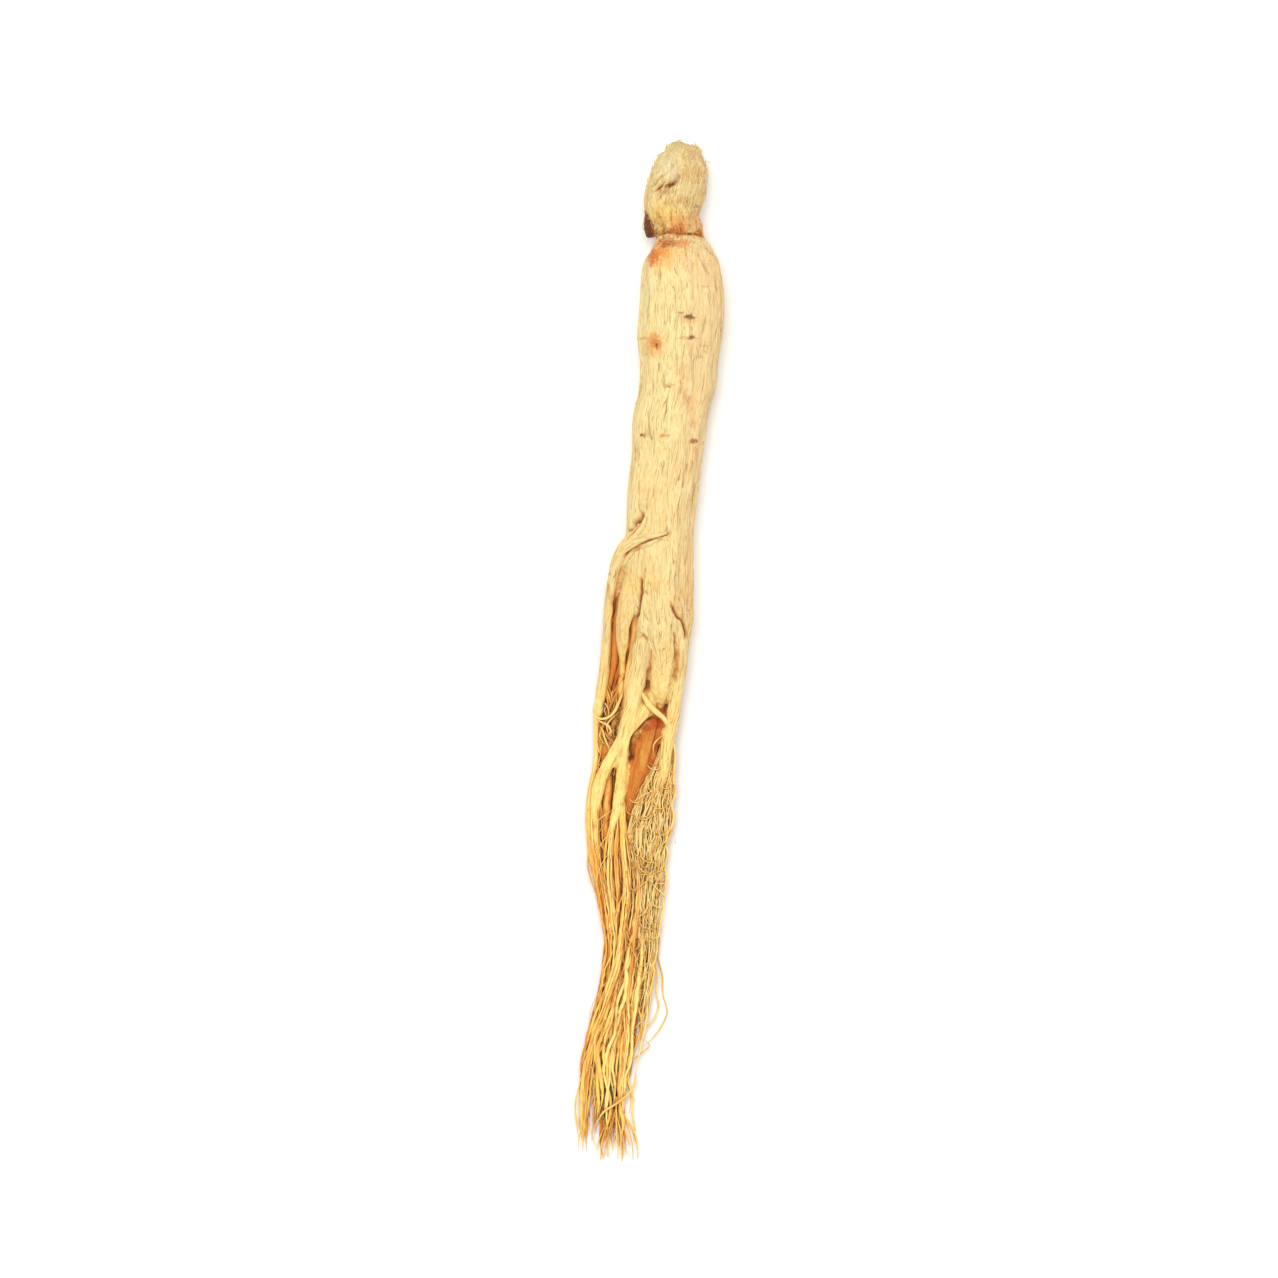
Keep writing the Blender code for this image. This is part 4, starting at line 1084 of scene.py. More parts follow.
run_nodes(
    head,
    shrunken_skin,
    {
        "Fine Cell": 0.85,
        "Fine Length": 2.8,
        "Fine Depth": 0.28,
        "Long Cell": 2.0,
        "Long Length": 5.5,
        "Long Depth": 0.36,
        "Swell Height": 0.9,
        "Material": head_material,
    },
)
root_pieces.append(head)


# Strands. The legs thin out into long tapered strands, and a few strong rootlets run beside them. All
# are the same dried flesh, round, knotty and a little wavy.

# X, Y, Z and radius along the middle of each, then its tone
FREE_STRANDS = {
    "long_rootlet": ([
        (-2.0, -25.0, 3.4, 0.9), (-3.4, -35.0, 4.2, 0.9), (-3.9, -45.0, 4.7, 1.1),
        (-3.3, -56.0, 4.4, 1.4), (-3.9, -70.0, 4.0, 1.5), (-5.6, -86.0, 3.6, 1.4),
        (-7.1, -101.0, 3.2, 1.3), (-7.3, -113.0, 2.9, 1.2), (-8.4, -125.0, 2.6, 1.0),
        (-8.8, -138.0, 2.2, 0.4),
    ], 0.2),
    "long_rootlet_left": ([
        (-9.4, -38.0, 5.0, 0.9), (-8.9, -44.0, 5.3, 1.2), (-8.5, -49.0, 5.3, 1.15),
        (-8.4, -56.0, 5.2, 1.0), (-7.7, -62.0, 5.0, 1.1), (-7.5, -69.0, 4.9, 1.2),
        (-8.2, -78.0, 4.6, 1.2), (-9.8, -90.0, 4.2, 1.2), (-13.3, -101.0, 3.8, 1.2),
        (-16.9, -111.0, 3.2, 1.2), (-19.3, -121.0, 2.6, 1.1), (-20.3, -131.0, 2.2, 1.2),
        (-20.5, -146.0, 1.6, 0.5),
    ], 0.3),
    "cross_rootlet": ([
        (-4.0, -8.0, 10.4, 0.6), (-2.6, -11.0, 10.9, 0.9), (-1.0, -13.7, 10.8, 0.9),
        (0.9, -15.8, 10.3, 0.8), (3.0, -17.4, 9.5, 0.8), (4.6, -19.4, 8.6, 0.8),
        (5.2, -22.6, 7.8, 0.8), (5.2, -27.0, 7.2, 0.6),
    ], 0.06),
    "right_edge": ([
        (7.6, -6.0, 9.0, 0.4), (7.9, -13.0, 8.7, 0.45), (7.2, -19.0, 8.0, 0.45),
        (6.3, -23.5, 7.5, 0.42), (6.9, -29.2, 6.9, 0.42), (6.3, -36.0, 6.4, 0.4),
        (6.9, -40.2, 6.1, 0.4), (5.8, -43.4, 5.9, 0.4), (6.5, -46.6, 5.7, 0.4),
        (5.6, -50.3, 5.5, 0.4), (4.4, -52.2, 5.4, 0.35), (4.1, -55.3, 5.2, 0.34),
        (4.8, -58.3, 5.0, 0.34), (3.6, -61.2, 4.8, 0.3), (2.9, -64.4, 4.6, 0.25),
    ], 0.16),
    "right_edge_branch": ([
        (5.7, -49.8, 5.5, 0.36), (6.4, -51.4, 5.4, 0.3), (7.0, -53.0, 5.3, 0.26),
        (7.0, -55.2, 5.0, 0.2),
    ], 0.3),
    "gap_filler": ([
        (-12.2, -16.0, 5.4, 0.9), (-13.4, -24.0, 4.6, 1.3), (-14.6, -34.0, 3.8, 1.3),
        (-15.4, -46.0, 3.0, 1.1), (-14.6, -60.0, 2.4, 0.9), (-12.0, -78.0, 2.0, 0.5),
    ], 0.7),
    "orange_middle": ([
        (-9.0, -40.0, 4.0, 0.8), (-10.2, -51.0, 4.2, 1.1), (-10.8, -60.0, 4.0, 1.1),
        (-10.2, -70.0, 3.7, 1.1), (-10.6, -84.0, 3.3, 0.9), (-13.0, -104.0, 2.8, 0.6),
    ], 0.62),
    "stray_loop": ([
        (0.2, -84.0, 3.8, 0.34), (0.7, -89.2, 3.6, 0.28), (1.9, -94.0, 3.0, 0.26),
        (1.2, -99.0, 2.4, 0.26), (2.0, -103.0, 2.0, 0.26), (-0.6, -108.5, 2.0, 0.26),
        (-3.4, -110.5, 2.2, 0.26), (-7.2, -112.0, 2.8, 0.2),
    ], 0.35),
    "stray_loop_outer": ([
        (1.2, -78.0, 3.2, 0.24), (2.2, -83.6, 2.6, 0.22), (1.6, -88.4, 2.0, 0.22),
        (2.9, -93.8, 1.4, 0.22), (3.2, -99.8, 1.0, 0.22), (4.6, -104.8, 0.9, 0.22),
        (2.6, -109.6, 0.9, 0.22), (0.0, -113.0, 1.0, 0.2), (-3.6, -116.4, 1.4, 0.16),
    ], 0.5),
    "low_cross_fibre": ([
        (-2.6, -112.8, 2.6, 0.22), (-0.4, -114.8, 1.6, 0.24), (-2.8, -116.8, 2.2, 0.24),
        (-6.6, -119.8, 3.2, 0.22), (-9.6, -121.0, 3.6, 0.18),
    ], 0.45),
    "behind_left_gap": ([
        (-7.4, 28.0, 7.4, 0.8), (-9.2, 18.0, 7.9, 1.3), (-10.3, 8.0, 7.2, 1.4),
        (-11.2, -2.0, 5.6, 1.2), (-12.6, -9.0, 4.8, 0.8), (-13.0, -14.0, 4.4, 0.9),
        (-13.0, -26.0, 3.8, 1.0), (-13.6, -44.0, 3.2, 0.9), (-14.0, -62.0, 2.6, 0.8),
        (-13.0, -84.0, 2.2, 0.4),
    ], 0.8),
    "behind_left_leg": ([
        (-7.2, 20.0, 5.4, 1.0), (-9.4, 6.0, 4.6, 1.5), (-9.8, -5.0, 4.0, 1.0),
        (-9.4, -14.0, 3.6, 0.9), (-11.4, -26.0, 3.2, 1.0), (-11.4, -44.0, 2.6, 1.0),
        (-11.6, -66.0, 2.2, 0.8), (-10.6, -90.0, 1.8, 0.4),
    ], 0.92),
    "behind_right": ([
        (4.0, -4.0, 5.6, 1.2), (4.2, -16.0, 4.8, 1.4), (2.4, -30.0, 3.8, 1.2),
        (1.0, -46.0, 3.0, 1.1), (-0.4, -62.0, 2.4, 0.9), (-2.6, -82.0, 2.0, 0.8),
        (-4.4, -104.0, 1.8, 0.6), (-7.0, -128.0, 1.4, 0.3),
    ], 0.9),
    "between_left_and_middle": ([
        (-3.4, 20.0, 12.0, 0.8), (-4.5, 13.0, 11.2, 1.2), (-5.1, 7.0, 10.4, 1.3),
        (-5.8, 1.5, 9.3, 1.3), (-6.7, -5.0, 8.2, 1.2), (-7.8, -12.0, 7.2, 1.0),
        (-9.6, -20.0, 6.0, 0.8), (-11.4, -30.0, 5.0, 0.6),
    ], 0.42),
    "knot_curl": ([
        (-8.0, -7.0, 7.6, 0.4), (-8.6, -10.4, 7.8, 0.5), (-9.8, -13.7, 7.9, 0.5),
        (-11.5, -16.7, 7.8, 0.46), (-13.8, -18.1, 7.2, 0.46), (-16.0, -17.9, 7.0, 0.44),
        (-17.4, -15.8, 6.0, 0.4), (-17.0, -13.2, 6.4, 0.34),
    ], 0.16),
    "knot_curl_below": ([
        (-17.3, -17.0, 5.6, 0.34), (-15.4, -18.8, 6.9, 0.4), (-13.2, -19.9, 7.0, 0.4),
        (-12.1, -21.6, 6.8, 0.4), (-13.2, -23.4, 6.2, 0.38), (-14.8, -25.2, 5.6, 0.34),
        (-15.6, -28.0, 5.2, 0.3),
    ], 0.16),
    "knot_curl_right": ([
        (-9.6, -16.0, 8.6, 0.3), (-11.6, -17.8, 7.9, 0.36), (-13.4, -20.6, 6.9, 0.36),
        (-12.6, -22.8, 6.9, 0.34), (-10.6, -23.4, 7.8, 0.3),
    ], 0.2),
    "knot_curl_low": ([
        (-16.8, -19.5, 5.6, 0.3), (-14.6, -21.2, 6.4, 0.36), (-13.9, -23.8, 6.4, 0.36),
        (-12.4, -27.5, 6.4, 0.34), (-12.2, -31.0, 7.0, 0.3),
    ], 0.22),
    "fork_fibre": ([
        (-11.4, -44.8, 7.0, 0.24), (-13.0, -46.0, 6.9, 0.3), (-15.2, -47.6, 6.2, 0.3),
        (-17.4, -49.8, 5.2, 0.24),
    ], 0.3),
    "curl": ([
        (4.0, -22.6, 8.6, 0.3), (2.2, -23.8, 8.8, 0.38), (0.8, -25.4, 8.9, 0.38),
        (0.4, -27.6, 8.7, 0.36), (1.2, -29.6, 8.2, 0.3),
    ], 0.16),
    "bowed_end": ([
        (-4.4, -121.0, 3.0, 0.4), (-5.4, -127.0, 3.2, 0.38), (-10.0, -131.6, 3.4, 0.36),
        (-14.4, -134.8, 3.2, 0.34), (-18.0, -141.0, 2.4, 0.3),
    ], 0.32),
}
# Where along Y each leg also starts as a strand, and the strand's tone at both ends
STRAND_STARTS = {
    "left_lateral_lower_ridge": (-6.0, 0.18, 0.8),
    "left_leg": (0.0, 0.3, 0.95),
    "middle_leg": (-30.0, 0.1, 0.34),
    "middle_leg_fork": (-28.0, 0.16, 0.5),
    "right_inner_leg": (-34.0, 0.12, 0.2),
    "right_outer_leg": (3.0, 0.1, 0.25),
    "back_leg": (-42.0, 0.66, 0.5),
}
STRAND_SPACING = 1.5
# How long a strand swells in at its start and runs out at its end, and its radius there as a share
LEG_STRAND_TAPER = (9.0, 14.0)
FREE_STRAND_TAPER = (5.0, 8.0)
THIN_END = 0.12
# A free strand is this much deeper in tone where it starts, which fades between these lengths
START_TONE = 0.1
START_TONE_LENGTHS = (4.0, 24.0)
# Each strand reads its noise this much further on than the one before it
PHASE_STEP = 1.37
PHASE_GRAIN = 40.0
PHASE_SIDE = 3.7
# How strongly a line sways across and up, and how drawn out, wide and wavy its furrows are
SWAY_ACROSS = 2.0
SWAY_UP = 1.2
STRAND_FURROW_LENGTH = 9.0
STRAND_FURROW_WIDTH = 0.12
STRAND_FURROW_SWAY = 0.5


def make_grown_strand():
    """A tree that turns lines into knotty, furrowed strands."""
    tree, given, result = new_tree(
        "grown_strand",
        "GeometryNodeTree",
        [
            ("Geometry", "Geometry", None),
            ("Spacing", "Float", 0.8),
            ("Sides", "Int", 14),
            ("Wander", "Float", 0.5),
            ("Wander Length", "Float", 8.0),
            ("Knobs", "Float", 0.35),
            ("Knob Length", "Float", 2.6),
            ("Furrow Cell", "Float", 0.7),
            ("Furrow Depth", "Float", 0.14),
            ("Material", "Material", None),
        ],
        [("Geometry", "Geometry")],
    )
    curve = add_node(tree, "GeometryNodeMeshToCurve", {"Mesh": given["Geometry"]}).outputs["Curve"]
    spacing = maths(tree, "MULTIPLY", given["Spacing"], MM)
    curve = add_node(
        tree, "GeometryNodeResampleCurve", {"Curve": curve, "Length": spacing}, mode="LENGTH"
    ).outputs["Curve"]
    # The line wanders off its route, each strand in its own way
    own = combined(tree, stored(tree, "phase"), PHASE_SIDE, stored(tree, "phase"))
    per_wave = maths(tree, "DIVIDE", 1.0, given["Wander Length"])
    waves = scaled(tree, scaled(tree, position(tree), 1.0 / MM), per_wave)
    sway = spread_noise(tree, vector_maths(tree, "ADD", waves, own), 1.0, 2.0)
    sway = vector_maths(tree, "MULTIPLY", sway, (SWAY_ACROSS * MM, 0.0, SWAY_UP * MM))
    sway = scaled(tree, sway, given["Wander"])
    curve = moved(tree, curve, "Offset", sway)
    along = maths(tree, "DIVIDE", tree.nodes.new("GeometryNodeSplineParameter").outputs["Length"], MM)
    curve = store(tree, curve, "along", along)
    curve = store(tree, curve, "middle", position(tree), "FLOAT_VECTOR")

    # Knobs swell its thickness
    bead = maths(tree, "DIVIDE", stored(tree, "along"), given["Knob Length"])
    bead = noise_at(tree, combined(tree, bead, stored(tree, "phase")), 1.0, 2.0)
    swell = maths(tree, "MULTIPLY", maths(tree, "SUBTRACT", bead, 0.5), given["Knobs"])
    swell = maths(tree, "ADD", maths(tree, "MULTIPLY", swell, 2.0), 1.0)
    radius = maths(tree, "MULTIPLY", maths(tree, "MULTIPLY", stored(tree, "thick"), MM), swell)
    ring = add_node(tree, "GeometryNodeCurvePrimitiveCircle", {"Resolution": given["Sides"], "Radius": 1.0})
    mesh = add_node(
        tree,
        "GeometryNodeCurveToMesh",
        {"Curve": curve, "Profile Curve": ring.outputs["Curve"], "Scale": radius, "Fill Caps": True},
    ).outputs["Mesh"]
    # Its grain runs along it, and its furrows follow the grain
    offset = vector_maths(tree, "SUBTRACT", position(tree), stored(tree, "middle", "FLOAT_VECTOR"))
    offset = add_node(tree, "ShaderNodeSeparateXYZ", {0: scaled(tree, offset, 1.0 / MM)}).outputs
    down = maths(tree, "MULTIPLY", stored(tree, "phase"), PHASE_GRAIN)
    down = maths(tree, "ADD", stored(tree, "along"), down)
    mesh = store(tree, mesh, "grain", combined(tree, offset[0], offset[2], down), "FLOAT_VECTOR")
    grain = stored(tree, "grain", "FLOAT_VECTOR")
    cell = given["Furrow Cell"]
    drawn_out = maths(tree, "MULTIPLY", cell, STRAND_FURROW_LENGTH)
    shape = (STRAND_FURROW_WIDTH, STRAND_FURROW_SWAY)
    lines = lines_in(tree, furrow_lines, grain, cell, drawn_out, *shape)
    mesh = store(tree, mesh, "furrow", lines)
    sunk = maths(tree, "MULTIPLY", given["Furrow Depth"], -1.0)
    mesh = moved_along_normal(tree, mesh, maths(tree, "MULTIPLY", stored(tree, "furrow"), sunk))

    # Nothing of it lies below the surface that the root rests on
    place = add_node(tree, "ShaderNodeSeparateXYZ", {0: position(tree)}).outputs
    above = combined(tree, place[0], place[1], maths(tree, "MAXIMUM", place[2], 0.0))
    mesh = moved(tree, mesh, "Position", above)
    tree.links.new(finished_mesh(tree, mesh, given["Material"]), result["Geometry"])
    return tree


def strand_lines(name, strands):
    """An object of bare lines with radius, tone and phase on their points, from (rows, tones) pairs."""
    points = []
    edges = []
    thick = []
    tones = []
    phases = []
    for number, (rows, tone) in enumerate(strands):
        start = len(points)
        points.extend(tuple(point) for point in rows[:, :3] * MM)
        edges.extend((start + step, start + step + 1) for step in range(len(rows) - 1))
        thick.extend(rows[:, 3])
        tones.extend(np.broadcast_to(tone, len(rows)))
        phases.extend([number * PHASE_STEP] * len(rows))
    mesh = bpy.data.meshes.new(name)
    mesh.from_pydata(points, edges, [])
    keep_value(mesh, "thick", np.array(thick))
    keep_value(mesh, "tone", np.array(tones))
    keep_value(mesh, "phase", np.array(phases))
    lines = bpy.data.objects.new(name, mesh)
    bpy.context.scene.collection.objects.link(lines)
    return lines


def tapered(rows, start_length, end_length):
    """Rows whose radius swells in over a length at the start and runs out at the end."""
    along = np.concatenate(([0.0], np.cumsum(np.linalg.norm(np.diff(rows[:, :3], axis=0), axis=1))))
    rows = rows.copy()
    rows[:, 3] *= faded(THIN_END, along, start_length)
    rows[:, 3] *= faded(THIN_END, along[-1] - along, end_length)
    return rows


grown_strand = make_grown_strand()
strands = []
for leg_name, (start_along, first_tone, last_tone) in STRAND_STARTS.items():
    strand_rows = smooth_route(LEGS[leg_name], STRAND_SPACING)
    strand_rows = strand_rows[strand_rows[:, 1] < start_along]
    strand_tones = np.linspace(first_tone, last_tone, len(strand_rows))
    strands.append((tapered(strand_rows, *LEG_STRAND_TAPER), strand_tones))
for strand_rows, strand_tone in FREE_STRANDS.values():
    strand_rows = tapered(smooth_route(strand_rows, STRAND_SPACING), *FREE_STRAND_TAPER)
    from_start = np.arange(len(strand_rows)) * STRAND_SPACING
    start_fade = 1.0 - smooth_step(from_start, *START_TONE_LENGTHS)
    strands.append((strand_rows, strand_tone + START_TONE * start_fade))
strand_material = make_root_material("golden_strand_skin", [], 0.7, 0.8, 0.6, 1.1, 0.7, 0.18)
strand_piece = strand_lines("leg_strands", strands)
run_nodes(
    strand_piece,
    grown_strand,
    {
        "Spacing": 0.75,
        "Sides": 16,
        "Wander": 0.4,
        "Wander Length": 8.0,
        "Knobs": 0.22,
        "Knob Length": 3.6,
        "Furrow Cell": 0.9,
        "Material": strand_material,
    },
)
root_pieces.append(strand_piece)


# Frayed bark of the head. Short threads of the real stub's bark lift off all over it, thickest on its
# right and at its top and foot. More of them hang down over the crease below it.

BARK_THREADS = 300
BARK_SEED = 31
BARK_LENGTHS = (1.0, 2.6)
BARK_LIFTS = (0.1, 0.6)
BARK_SLANT = 0.6
BARK_RADII = (0.1, 0.17)
BARK_TONES = (0.0, 0.5)
# They grow on the side that is seen, above this height, and higher up Y than the collar
BARK_ABOVE = 4.0
BARK_FROM = 125.0
# Chance that a thread grows where one is tried, and what it gains on the right side and at both ends
SMOOTH_BARK_SHARE = 0.35
BARK_RIGHT_OF = 7.5
RIGHT_BARK_SHARE = 0.4
BARK_FOOT, BARK_TOP = 130.0, 143.0
END_BARK_SHARE = 0.25
# The threads low on the head are deeper in tone
DARK_BARK_BELOW = 133.0
DARK_BARK_TONE = 0.3
# Points along a thread, its radius at its end as a share, and how it arches
THREAD_POINTS = 6
THREAD_END = 0.5
THREAD_ARCH = 1.4
# Threads that hang over the crease between the head and the shoulder
COLLAR_THREADS = 60
COLLAR_LENGTHS = (1.0, 2.4)
COLLAR_RADII = (0.1, 0.2)
COLLAR_TONES = (0.55, 1.0)
COLLAR_BAND = (124.5, 126.6)
COLLAR_ABOVE = 5.0
COLLAR_RIGHT_OF = 1.0
COLLAR_LEAN = 0.5
COLLAR_RISE = 0.6
COLLAR_ARCH = 2.4

thread_share = np.linspace(0.0, 1.0, THREAD_POINTS)[:, None]
thread_thinning = np.linspace(1.0, THREAD_END, THREAD_POINTS)
bark_draw = random.Random(BARK_SEED)
bark_threads = []
while len(bark_threads) < BARK_THREADS:
    bark_point = head.data.vertices[bark_draw.randrange(len(head.data.vertices))]
    x, y, z = bark_point.co / MM
    crowded = SMOOTH_BARK_SHARE + RIGHT_BARK_SHARE * (x > BARK_RIGHT_OF)
    crowded += END_BARK_SHARE * (y > BARK_TOP or y < BARK_FOOT)
    if z < BARK_ABOVE or y < BARK_FROM or bark_draw.random() > crowded:
        continue
    outwards = Vector(bark_point.normal)
    bark_slant = bark_draw.uniform(-BARK_SLANT, BARK_SLANT)
    sideways = Vector([bark_slant, bark_draw.choice((-1.0, 1.0)), 0.0])
    sideways = (sideways - outwards * sideways.dot(outwards)).normalized()
    bark_length = bark_draw.uniform(*BARK_LENGTHS)
    bark_lift = bark_length * bark_draw.uniform(*BARK_LIFTS)
    bark_path = np.array((x, y, z)) + bark_length * thread_share * np.array(sideways)
    bark_path += bark_lift * thread_share * (THREAD_ARCH - thread_share) * np.array(outwards)
    bark_radius = bark_draw.uniform(*BARK_RADII) * thread_thinning
    bark_tone = bark_draw.uniform(*BARK_TONES) + (DARK_BARK_TONE if y < DARK_BARK_BELOW else 0.0)
    bark_threads.append((np.column_stack((bark_path, bark_radius)), bark_tone))
collar_points = []
for point in head.data.vertices:
    in_band = COLLAR_BAND[0] < point.co.y / MM < COLLAR_BAND[1]
    if in_band and point.co.z / MM > COLLAR_ABOVE and point.co.x / MM > COLLAR_RIGHT_OF:
        collar_points.append(point)
for _ in range(COLLAR_THREADS):
    collar_point = collar_points[bark_draw.randrange(len(collar_points))]
    collar_way = np.array((bark_draw.uniform(-COLLAR_LEAN, COLLAR_LEAN), -1.0, 0.0))
    collar_way *= bark_draw.uniform(*COLLAR_LENGTHS)
    collar_rise = COLLAR_RISE * np.sin(thread_share * COLLAR_ARCH) * np.array(collar_point.normal)
    collar_path = np.array(collar_point.co / MM) + thread_share * collar_way + collar_rise
    collar_radius = bark_draw.uniform(*COLLAR_RADII) * thread_thinning
    collar_tone = bark_draw.uniform(*COLLAR_TONES)
    bark_threads.append((np.column_stack((collar_path, collar_radius)), collar_tone))
bark_material = make_root_material("frayed_bark", [], 0.3, 0.5, 0.3, 0.35, 0.0, 0.05)
bark_piece = strand_lines("head_bark_threads", bark_threads)
run_nodes(
    bark_piece,
    grown_strand,
    {
        "Spacing": 0.5,
        "Sides": 4,
        "Wander": 0.15,
        "Wander Length": 1.2,
        "Knobs": 0.3,
        "Knob Length": 1.0,
        "Furrow Depth": 0.0,
        "Material": bark_material,
    },
)
root_pieces.append(bark_piece)


# Rootlets. Each real one leaves its leg and finds its own way down the tail, wavy and thinner towards
# its end; the upper ones are pale gold, and those below them are painted a deeper orange as shade.

# Outline of the tail: along Y, left edge, right edge, lowest and highest middle
TAIL = [
    (-14.0, -13.0, 8.0, 4.0, 8.6),
    (-30.2, -15.8, 7.0, 2.4, 7.0),
    (-42.0, -17.6, 6.6, 1.6, 6.0),
    (-56.8, -17.8, 5.4, 1.3, 5.4),
    (-71.5, -15.6, 3.6, 1.2, 5.0),
    (-86.3, -14.2, 1.6, 1.1, 4.6),
    (-101.0, -16.4, -0.8, 1.0, 4.0),
    (-115.8, -20.4, -3.4, 1.0, 3.4),
    (-130.5, -21.4, -5.0, 0.9, 2.8),
    (-145.3, -21.8, -4.6, 0.8, 2.0),
    (-152.0, -21.8, -4.4, 0.8, 1.6),
]

# The leg or strand that carries them, how many, where they start and end along Y, where they lie
# across the tail (0 left, 1 right), their level in it (0 low, 1 high) and their radius
ROOTLETS = [
    ("right_inner_leg", 12, (-22.0, -38.0), (-80.0, -112.0), (0.66, 0.98), (0.3, 1.0), (0.28, 0.45)),
    ("back_leg", 16, (-34.0, -70.0), (-112.0, -149.0), (0.05, 0.85), (0.0, 0.5), (0.35, 0.65)),
    ("long_rootlet", 16, (-44.0, -100.0), (-108.0, -148.5), (0.4, 1.0), (0.4, 1.0), (0.25, 0.5)),
    ("long_rootlet_left", 14, (-42.0, -110.0), (-116.0, -149.5), (0.0, 0.6), (0.4, 1.0), (0.25, 0.5)),
    ("middle_leg", 16, (-42.0, -90.0), (-92.0, -148.0), (0.1, 0.5), (0.4, 1.0), (0.25, 0.5)),
    ("middle_leg_fork", 14, (-30.0, -90.0), (-92.0, -148.0), (0.0, 0.4), (0.2, 0.9), (0.25, 0.5)),
    ("left_leg", 8, (0.0, -40.0), (-50.0, -104.0), (0.1, 0.5), (0.1, 0.8), (0.25, 0.45)),
    ("back_leg", 24, (-34.0, -48.0), (-132.0, -149.0), (0.08, 0.84), (-0.6, -0.2), (0.5, 0.8)),
    ("middle_leg", 7, (-60.0, -92.0), (-122.0, -149.0), (0.15, 0.6), (0.95, 1.2), (0.7, 1.1)),
    ("long_rootlet", 7, (-66.0, -98.0), (-122.0, -149.0), (0.4, 0.9), (0.9, 1.15), (0.7, 1.05)),
    ("left_lateral_lower_ridge", 6, (0.0, -30.0), (-50.0, -96.0), (0.0, 0.3), (0.1, 0.8), (0.25, 0.45)),
]
ROOTLET_SEED = 23
CARRIER_SPACING = 1.0
SHORTEST_ROOTLET = 18.0
ROOTLET_WAVE = 0.02
# Thin rootlets swell in over the first length and thick ones over the second
THICK_ROOTLET = 0.66
THIN_ROOTLET_START = 3.0
THICK_ROOTLET_START = 30.0
ROOTLET_END = 9.0
# Tone of a rootlet low in the tail, how much paler one on top is because it gets less painted shade,
# how much deeper one at the left edge is and across what share of the tail that fades, and how far
# single ones differ
LOW_ROOTLET_TONE = 0.62
TOP_ROOTLET_LESS_SHADE = 0.52
LEFT_ROOTLET_TONE = 0.3
LEFT_SHARE = 0.4
ROOTLET_TONE_SPREAD = (-0.24, 0.3)
# How a rootlet runs: its spacing, how it sways across its lane and between levels and over what
# length, the length of its even wave, its small shivers across and up, and its radius at its end
ROOTLET_SPACING = 1.6
LANE_SWAY = 0.14
LEVEL_SWAY = 0.3
SWAY_LENGTH = 15.0
WAVE_LENGTH = 2.6
SHIVER_ACROSS = 0.5
SHIVER_UP = 0.25
SHIVER_LENGTH = 5.0
SHIVER_PHASE = 40.0
ROOTLET_THINNING = 0.5
ROOTLET_CLEARANCE = 0.05
NOISE_PHASES = (0.0, 100.0)

# The gap between the left lateral and the middle leg, as TAIL, and how many rootlets fill it
GAP = [
    (12.0, -11.4, -8.6, 5.6, 8.0),
    (-3.0, -12.8, -9.2, 4.6, 7.2),
    (-12.0, -13.4, -10.0, 3.8, 6.6),
    (-20.0, -15.2, -11.6, 3.2, 5.8),
    (-28.0, -16.0, -12.6, 2.8, 5.2),
    (-36.0, -17.2, -12.8, 2.4, 4.6),
    (-58.0, -17.6, -12.4, 2.0, 3.8),
]
GAP_ROOTLETS = 22
GAP_STARTS = (10.0, -12.0)
GAP_ENDS = (-38.0, -56.0)
GAP_RADII = (0.35, 0.7)
GAP_WAVE = 0.08
# Tone of the lowest rootlets in the gap, how much paler the top ones are because they get less painted
# shade, and how far single ones differ
GAP_TONE = 0.95
TOP_GAP_LESS_SHADE = 0.4
GAP_TONE_SPREAD = (-0.12, 0.12)
ROOTLET_JOINING_LENGTH = 16.0

# Thin rootlets that lie combed along the strongest strands
COMBED_CARRIERS = [
    "middle_leg",
    "middle_leg_fork",
    "long_rootlet",
    "long_rootlet",
    "long_rootlet_left",
    "long_rootlet_left",
    "left_lateral_lower_ridge",
    "orange_middle",
]
COMBED_COUNT = 110
# Their length in millimetres, how far they stand off the strand to the side at their ends and more
# at their middle, and how far they rise from it
COMBED_LENGTHS = (18, 52)
COMBED_SIDE = 0.4
COMBED_SIDE_MIDDLE = 1.9
COMBED_RISE = 0.3
COMBED_RADII = (0.22, 0.4)
COMBED_TAPER = (4.0, 9.0)
COMBED_TONES = (0.0, 0.7)
COMBED_BELOW = -34.0

# Fibres that fan out at the very end of the tail: where they start and end along Y, the middle of
# the fan, how far they spread, and where along Y they do so
FAN_FIBRES = 16
FAN_START = -130.0
FAN_ENDS = (-144.0, -149.4)
FAN_POINTS = 12
FAN_MIDDLE = -10.4
FAN_WIDTH = 13.0
FAN_SPREAD = (130.0, 146.0)
FAN_STRAY = 1.0
FAN_BOW = 1.2
FAN_LOWEST = 1.2
FAN_HEIGHT = 1.6
FAN_RADII = (0.2, 0.34)
FAN_THINNING = 0.6
FAN_TONES = (0.2, 0.6)

tail_outline = np.array(TAIL)[::-1]
gap_outline = np.array(GAP)[::-1]
carriers = {name: smooth_route(rows, CARRIER_SPACING) for name, rows in LEGS.items()}
for name, (rows, tone) in FREE_STRANDS.items():
    carriers[name] = smooth_route(rows, CARRIER_SPACING)


def carrier_at(name, along):
    """The row of a carrier nearest to a place along Y."""
    return carriers[name][np.argmin(np.abs(carriers[name][:, 1] - along))]


def wavering(phase, along, length, side):
    """Noise vectors at places along Y, with waves of a length."""
    return np.array([noise.noise_vector(Vector((phase, y / length, side))) for y in along])


